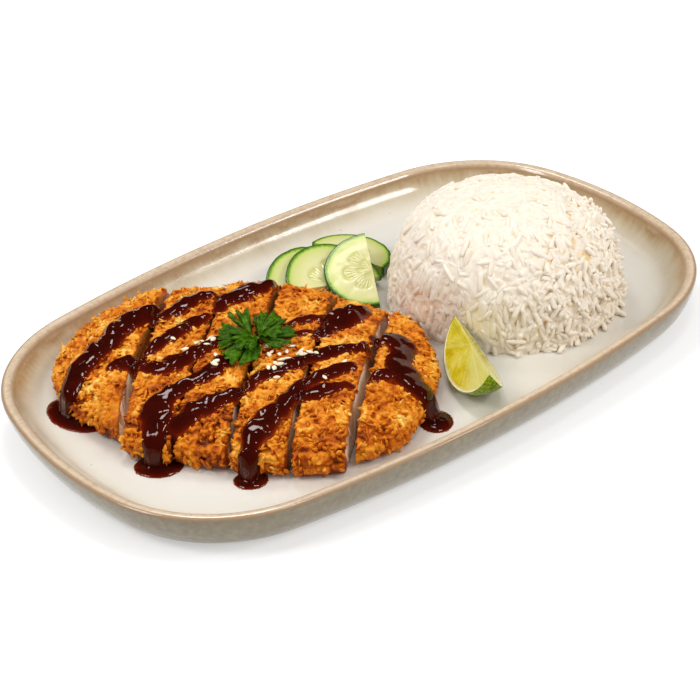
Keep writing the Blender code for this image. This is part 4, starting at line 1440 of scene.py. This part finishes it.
def half_round_faces(count):
    """Faces of the half round, with its straight side joined from top to bottom."""
    faces = grid_faces(BOW_STEPS + 1, count)
    # The straight side is made of the first row, which runs one way, and the last, which runs the other.
    for start, flip in ((0, False), (BOW_STEPS * count, True)):
        per_low = FACE_RINGS // BACK_RINGS
        rim_low = count - 1 - BACK_RINGS
        for k in range(BACK_RINGS):
            top = list(range(k * per_low, (k + 1) * per_low + 1))
            bottom = [count - 1 - k, count - 2 - k] if k < BACK_RINGS - 1 else [count - 1 - k, rim_low]
            loop = [start + v for v in top + bottom[::-1]]
            faces.append(loop if flip else loop[::-1])
        outer = [start + v for v in range(FACE_RINGS, rim_low + 1)]
        faces.append(outer if flip else outer[::-1])
    return faces


def build_cucumber(index):
    """A half-round slice: wet flesh with seed lobes, and a thin rind round the bow."""
    centre, lean, lean_way, edge_way, radius, thickness, turned = CUCUMBERS[index]
    rng = np.random.default_rng(300 + index)
    verts, share, angle, count = half_round_points(index, radius, thickness)
    upper = verts[:, 2] > -0.05 * MM
    lobe, seed = seed_fields(share, angle, turned, rng)
    dip = -0.22 * lobe + 0.26 * seed + 0.07 * lumps(verts, 3 * MM, 4)
    edge_fade = smoothstep(1.0, 0.9, share) * smoothstep(0.0, 1.2 * MM, verts[:, 1])
    verts[:, 2] += np.where(upper, dip * edge_fade, 0.0) * MM
    # The straight side of some slices lies further down, out of sight behind the crust.
    verts[:, 1] -= PAST_HALF[index] * (1 - verts[:, 1] / (radius * MM)) * MM
    obj = mesh_object(f"cucumber_half_{index + 1}", verts, half_round_faces(count))
    values = {"share": share, "lobe": lobe, "seed": seed}
    finish_faces(obj, values, join_within=0.01 * MM, sharp=math.radians(50))
    obj.matrix_world = leaning_frame(centre, lean, lean_way, edge_way)
    return finish_piece(obj, cucumber_material(), (f"cucumber_slice_{index + 1}",))


@functools.cache
def cucumber_material():
    look = Look("cut_cucumber", Roughness=0.24, IOR=1.4, Specular_Tint=(1.0, 1.0, 0.8, 1.0),
                Subsurface_Weight=0.3, Subsurface_Radius=(1.0, 1.0, 0.4), Subsurface_Scale=1.0 * MM,
                Coat_Weight=0.2, Coat_Roughness=0.12)
    share = look.value("share")
    wander = look.span(look.noise(1.6 * MM, 3.0, 0.6), 0.3, 0.7, -0.014, 0.014)
    flesh = look.ramp(look.plus(share, wander), [
        (0.0, (216, 210, 146)), (0.30, (219, 214, 152)), (0.62, (222, 219, 161)),
        (0.80, (210, 211, 137)), (0.88, (196, 208, 114)), (0.925, (142, 176, 62)),
        (0.95, (88, 134, 28)), (0.985, (44, 84, 16)),
    ])
    threads = look.noise(1.0 * MM, 3.0, 0.6)
    cell = look.mix(look.span(threads, 0.35, 0.65), srgb(188, 188, 96), srgb(208, 206, 126))
    flesh = look.mix(look.times(look.value("lobe"), 0.75), flesh, cell)
    flesh = look.mix(look.times(look.value("seed"), 0.8), flesh, srgb(236, 232, 180))
    flecks = look.maths("LESS_THAN", look.cells(3.1 * MM), 0.09)
    near_rind = look.span(share, 0.84, 0.9)
    flecked = look.times(flecks, look.times(near_rind, 0.5))
    look.colour(look.mix(flecked, flesh, srgb(120, 160, 60)))
    look.bump(look.noise(0.8 * MM, 3.0), 0.06 * MM, 0.5)
    return look.material


# ---------------------------------------------------------------- lime


LIME_RIDGE_CENTRE = Vector((13.4, -68.0, 30.9)) * MM
LIME_RIDGE_ANGLE = math.radians(66)
LIME_LENGTH = 53.5 * MM
LIME_RADIUS = 21.4 * MM
LIME_HALF_WEDGE = math.radians(33)
# Thickness of the pith, half width of a membrane and width of the bare ridge, in mm. Then over how many
# mm the pulp rises beside a membrane, and beside the pith or the ridge.
LIME_PITH = 1.5
MEMBRANE_HALF = 0.12
RIDGE_WIDTH = 0.35
MEMBRANE_RISE = 0.35
PULP_RISE = 0.6
# How far the cut face lies below the wedge's plane, and how far the pulp stands above that, in mm.
FACE_SINK = 0.35
PULP_RELIEF = 0.24
# Directions of the membranes on a cut face, in degrees from the far tip, seen from the ridge's middle.
MEMBRANES = (36, 76, 126, 163)


def lime_reach(angle):
    """How far the peel lies from the ridge: blunt at the near end, a little pointed at the far tip."""
    power = 0.9 + 0.12 * math.cos(angle)
    return LIME_RADIUS * math.sin(angle) ** power


def unit_share(value):
    return min(1.0, max(0.0, value))


def pulp_at(x, reach, edge):
    """(pulp from 0 to 1, direction in degrees and distance in mm from the ridge's middle) on a cut face."""
    ray = math.degrees(math.atan2(reach, x))
    far = math.hypot(reach, x) / MM
    from_web = min(abs(math.radians(ray - web)) * far for web in MEMBRANES)
    pulp = unit_share((from_web - MEMBRANE_HALF) / MEMBRANE_RISE)
    pulp *= unit_share((edge - LIME_PITH) / PULP_RISE)
    pulp *= unit_share((reach / MM - RIDGE_WIDTH) / PULP_RISE)
    return pulp, ray, far


def build_lime():
    """The wedge: two juicy cut faces that share the ridge, with pith and pored peel behind them."""
    steps, shells, spans = 72, 34, 26
    half = LIME_LENGTH / 2
    angles = [math.pi * (0.004 + 0.992 * i / steps) for i in range(steps + 1)]
    verts, faces = [], []
    values = {"edge_mm": [], "pulp": [], "cut": [], "ray": [], "far_mm": []}

    def add_vertex(point, edge, pulp, cut, ray=0.0, far=0.0):
        verts.append(point)
        for name, value in zip(values, (edge, pulp, cut, ray, far)):
            values[name].append(value)

    for side in (-1, 1):
        turn = LIME_HALF_WEDGE * side
        outward = Vector((0.0, math.sin(turn), -math.cos(turn)))
        normal = Vector((0.0, math.cos(turn) * side, math.sin(turn) * side))
        start = len(verts)
        for angle in angles:
            x = half * math.cos(angle)
            for k in range(shells + 1):
                part = k / shells
                reach = lime_reach(angle) * part
                edge = (lime_reach(angle) - reach) / MM
                pulp, ray, far = pulp_at(x, reach, edge)
                fade = min(1.0, part * 5, (1 - part) * 5)
                level = (PULP_RELIEF * pulp - FACE_SINK) * MM * fade
                point = Vector((x, 0.0, 0.0)) + outward * reach + normal * level
                add_vertex(point, edge, pulp, 1.0, ray, far)
        faces += grid_faces(steps + 1, shells + 1, start, flip=side < 0)
    start = len(verts)
    for angle in angles:
        for j in range(spans + 1):
            turn = LIME_HALF_WEDGE * (2 * j / spans - 1)
            outward = Vector((0.0, math.sin(turn), -math.cos(turn)))
            on_ridge = Vector((half * math.cos(angle), 0.0, 0.0))
            add_vertex(on_ridge + outward * lime_reach(angle), 0.0, 0.0, 0.0)
    row = spans + 1
    for i in range(steps):
        for j in range(spans):
            a = start + i * row + j
            faces.append((a, a + 1, a + row + 1, a + row))
    verts = np.array([tuple(v) for v in verts])
    sacs = layered(verts * [0.55, 1.0, 1.0], 1.8 * MM, 8, 2) * 0.2 * MM * np.array(values["pulp"])
    verts[:, 2] += sacs * np.array(values["cut"])
    obj = mesh_object("lime_wedge_cut", verts, faces)
    finish_faces(obj, values, join_within=0.02 * MM, fill_holes=True, sharp=math.radians(40))
    obj.location = LIME_RIDGE_CENTRE
    obj.rotation_euler = (0.0, 0.0, LIME_RIDGE_ANGLE)
    return finish_piece(obj, lime_material(), ("lime_wedge",))


def lime_material():
    look = Look("cut_lime", Roughness=0.22, IOR=1.42, Specular_Tint=(1.0, 1.0, 0.7, 1.0),
                Subsurface_Weight=0.3, Subsurface_Radius=(1.0, 0.9, 0.2), Subsurface_Scale=1.2 * MM)
    rays = look.plane(look.value("ray"), 0.0004, look.value("far_mm"), 0.00022)
    streaks = look.noise(1.3 * MM, 3.0, 0.6, rays)
    patches = look.noise(8 * MM, 2.0)
    shade = look.plus(look.times(streaks, 0.4), look.times(patches, 0.6))
    pulp = look.ramp(shade, [(0.38, (196, 172, 14)), (0.50, (212, 200, 44)), (0.62, (226, 218, 96))])
    # The near end of the wedge is paler, where the juice sacs lie under a thin membrane.
    pale = look.span(look.value("ray"), 128.0, 150.0, 0.0, 0.7)
    pulp = look.mix(pale, pulp, srgb(230, 226, 142))
    edge = look.value("edge_mm")
    fuzzy = look.plus(edge, look.span(look.noise(0.9 * MM, 2.0), 0.3, 0.7, -0.35, 0.35))
    membrane = look.mix(look.span(fuzzy, 1.3, 2.8), srgb(246, 240, 206), srgb(230, 224, 134))
    inside = look.mix(look.value("pulp"), membrane, pulp)
    inside = look.mix(look.span(edge, 0.7, 0.4), inside, srgb(106, 132, 14))
    pores = look.cells(1.3 * MM)
    blotches = look.times(look.noise(9 * MM, 2.0), 0.5)
    dimples = look.plus(look.times(pores, 0.55), blotches)
    peel = look.ramp(dimples, [(0.28, (58, 80, 0)), (0.46, (98, 126, 0)), (0.66, (154, 182, 8))])
    look.colour(look.mix(look.value("cut"), peel, inside))
    look.vary("Roughness", look.span(look.value("cut"), 0.0, 1.0, 0.34, 0.15))
    look.bump(look.span(pores, 0.0, 0.5), 0.12 * MM, 0.45)
    return look.material


# ---------------------------------------------------------------- parsley


STALK_JUNCTION = (-58.6, 3.2)
# Leaves as fans: base (x, y) in mm, then for each lobe its direction in degrees, its length in mm and how
# deeply a slit parts it from the next lobe, from 0 to 1.
LEAVES = (
    ((-57.6, 1.8), ((-93, 10.9, 0.15), (-83, 15.1, 0.2), (-73, 16.1, 0.2), (-61, 16.6, 0.42),
                    (-44, 18.3, 0.22), (-28, 17.4, 0.25), (-12, 17.2, 0.45), (7, 18.4, 0.25),
                    (22, 20.1, 0.2), (34, 22.0, 0.42), (43, 23.3, 0.2), (51, 22.5, 0.18), (59, 17.4, 0.0))),
    ((-59.5, 4.8), ((61, 23.6, 0.2), (71, 24.6, 0.35), (83, 22.5, 0.0))),
    ((-60.2, 4.4), ((101, 19.0, 0.2), (112, 18.3, 0.2), (123, 16.8, 0.2), (145, 15.6, 0.28), (160, 16.0, 0.2),
                    (178, 17.9, 0.0))),
    ((-59.6, 3.8), ((188, 20.0, 0.2), (200, 22.6, 0.2), (210, 24.7, 0.38), (220, 24.6, 0.2),
                    (230, 24.0, 0.22), (240, 20.4, 0.2), (249, 14.0, 0.0))),
)
# Rings along a stalk: (share of its length, radius in mm), each with this many corners.
STALK_RINGS = ((0.0, 0.62), (0.35, 0.52), (0.7, 0.42), (1.0, 0.25))
STALK_SIDES = 8
# A leaf's step in degrees, its rings from base to rim, its thickness, the depth of its folds between the
# lobes and how far its rim curls down, in mm.
LEAF_STEP = 1.2
LEAF_RINGS = 12
LEAF_THICKNESS = 0.32
FOLD_DEPTH = 1.5
RIM_CURL = 1.1
# The smaller fan over each leaf: its length as a share, how much higher its base and its tips are, in mm.
UPPER_LENGTH = 0.64
UPPER_BASE = 0.9
UPPER_LIFT = 1.6
# How far each leaf's tips stand above its base, in mm.
LEAF_LIFTS = (2.6, 2.8, 2.2, 2.4)


def leaf_reach(angle, lobes):
    """(outline, vein, trough) in one direction of a leaf: broad toothed lobes with slits between them."""
    first, last = lobes[0], lobes[-1]
    if angle <= first[0] or angle >= last[0]:
        direction, length, _ = first if angle <= first[0] else last
        off = abs(angle - direction) / 6.5
        return length * max(0.0, 1 - off ** 2.5) ** 0.5, math.exp(-(off / 0.3) ** 2), 0.0
    for (start, length, slit), (end, next_length, _) in zip(lobes, lobes[1:]):
        if angle <= end:
            t = (angle - start) / (end - start)
            middle = 1 - abs(2 * t - 1)
            if slit > 0.27:
                notch, depth = smoothstep(0.25, 1.0, middle), min(0.62, slit * 1.45)
            else:
                notch, depth = middle ** 1.3, slit * 0.5
            blend = t * t * (3 - 2 * t)
            reach = (length + (next_length - length) * blend) * (1 - depth * notch)
            trough = notch if slit > 0.27 else 0.45 * notch
            return reach, math.exp(-(min(t, 1 - t) / 0.08) ** 2), trough


def leaf_surface(base, lobes, lift, number, relief, level_height):
    """Rows of (x, y, height, vein) for one leaf, from its base out to its toothed rim."""
    first, last = lobes[0][0] - 6.0, lobes[-1][0] + 6.0
    steps = int((last - first) / LEAF_STEP)
    rows = []
    for i in range(steps + 1):
        degrees = first + (last - first) * i / steps
        reach, vein, trough = leaf_reach(degrees, lobes)
        a = math.radians(degrees)
        row = []
        for k in range(LEAF_RINGS + 1):
            part = 0.04 + 0.96 * k / LEAF_RINGS
            x, y = base[0] + reach * part * math.cos(a), base[1] + reach * part * math.sin(a)
            fold = -FOLD_DEPTH * trough * part * (1.1 - 0.4 * part)
            ruffle = 0.8 * part ** 2 * math.sin(a * 13 + number * 2)
            ruffle += 0.35 * part ** 3 * math.sin(a * 31 + number)
            height = level_height + lift * part ** 0.8 + fold + ruffle - RIM_CURL * part ** 4
            floor = relief.smooth_height(x * MM, y * MM) / MM + 0.5 + 0.9 * part
            row.append((x, y, max(height, floor + 0.4 * fold), vein * (1.05 - part)))
        rows.append(row)
    return rows


def build_parsley(relief):
    """Frilly fans of lobes on thin stalks, resting on the crust with their tips lifted."""
    verts, faces, veins = [], [], []
    base_height = relief.smooth_height(STALK_JUNCTION[0] * MM, STALK_JUNCTION[1] * MM) / MM + 1.8
    fans = [(base, lobes, lift, base_height) for (base, lobes), lift in zip(LEAVES, LEAF_LIFTS)]
    # A smaller fan grows over each leaf, turned a little.
    for (base, lobes), lift in zip(LEAVES, LEAF_LIFTS):
        upper = tuple((direction * 0.92 + 6.0 + 0.08 * lobes[0][0], length * UPPER_LENGTH, slit)
                      for direction, length, slit in lobes)
        fans.append((base, upper, lift + UPPER_LIFT, base_height + UPPER_BASE))
    for number, (base, lobes, lift, level_height) in enumerate(fans):
        rows = leaf_surface(base, lobes, lift, number, relief, level_height)
        row_length = len(rows[0])
        sheet = len(rows) * row_length
        offset = len(verts)
        for level in (0.0, -LEAF_THICKNESS):
            for row in rows:
                for x, y, height, vein in row:
                    verts.append((x, y, height + level))
                    veins.append(vein)
        faces += grid_faces(len(rows), row_length, offset, flip=True)
        faces += grid_faces(len(rows), row_length, offset + sheet)
        last = (len(rows) - 1) * row_length
        border = list(range(row_length)) + [i * row_length + row_length - 1 for i in range(1, len(rows))]
        border += [last + k for k in range(row_length - 2, -1, -1)]
        border += [i * row_length for i in range(len(rows) - 2, 0, -1)]
        for a, b in zip(border, border[1:] + border[:1]):
            faces.append((offset + a, offset + b, offset + b + sheet, offset + a + sheet))
    obj = mesh_object("parsley_leaves", np.array(verts) * MM, faces)
    finish_faces(obj, {"vein": veins})
    finish_piece(obj, parsley_material(), ("parsley_sprig",))
    build_stalks(base_height)


def build_stalks(base_height):
    """Thin round stalks from the junction into each leaf, and the short cut end."""
    junction = Vector((*STALK_JUNCTION, base_height - 0.1))
    runs = []
    for (base, lobes), lift in zip(LEAVES, LEAF_LIFTS):
        direction, length, _ = lobes[len(lobes) // 2]
        way = Vector((math.cos(math.radians(direction)), math.sin(math.radians(direction)), 0.0))
        foot = Vector((*base, base_height + 0.1))
        runs.append((junction, foot))
        runs.append((foot, foot + way * length * 0.42 + Vector((0, 0, lift * 0.5))))
    runs.append((junction, junction + Vector((4.2, -6.5, -1.0))))
    rings, faces = [], []
    for start, end in runs:
        way = end - start
        side = way.cross(Vector((0, 0, 1))).normalized()
        up = side.cross(way).normalized()
        offset = len(rings)
        for t, radius in STALK_RINGS:
            centre = start + way * t + Vector((0, 0, 0.3 * math.sin(t * math.pi)))
            for i in range(STALK_SIDES):
                angle = 2 * math.pi * i / STALK_SIDES
                rings.append((centre + (side * math.cos(angle) + up * math.sin(angle)) * radius)[:])
        faces += ring_faces(len(STALK_RINGS), STALK_SIDES, offset)
        faces.append(tuple(range(offset, offset + STALK_SIDES)))
        faces.append(tuple(reversed(range(len(rings) - STALK_SIDES, len(rings)))))
    obj = mesh_object("parsley_stalks", np.array(rings) * MM, faces)
    look = Look("parsley_stalk", Roughness=0.4, Specular_IOR_Level=0.25)
    look.colour(look.ramp(look.noise(2 * MM), [(0.3, (96, 134, 20)), (0.7, (150, 180, 56))]))
    finish_piece(obj, look.material)


def parsley_material():
    look = Look("parsley_leaf", Roughness=0.42, IOR=1.42, Specular_IOR_Level=0.2,
                Specular_Tint=(0.9, 1.0, 0.6, 1.0), Subsurface_Weight=0.2,
                Subsurface_Radius=(0.5, 1.0, 0.1), Subsurface_Scale=0.8 * MM)
    patch = look.noise(3.0 * MM, 3.0, 0.6)
    leaf = look.ramp(patch, [(0.3, (26, 58, 2)), (0.5, (50, 88, 4)), (0.7, (88, 128, 14))])
    look.colour(look.mix(look.times(look.value("vein"), 0.55), leaf, srgb(118, 152, 38)))
    look.bump(look.noise(0.9 * MM, 3.0, 0.6), 0.14 * MM, 0.7)
    return look.material


# ---------------------------------------------------------------- the whole scene


def main():
    build_stage()
    build_camera()
    build_light()
    build_plate()
    slices = [build_slice(index) for index in range(1, 7)]
    relief = Relief(slices)
    build_sauce(relief)
    build_sesame(relief)
    build_parsley(relief)
    build_rice()
    for index in range(len(CUCUMBERS)):
        build_cucumber(index)
    build_lime()


main()
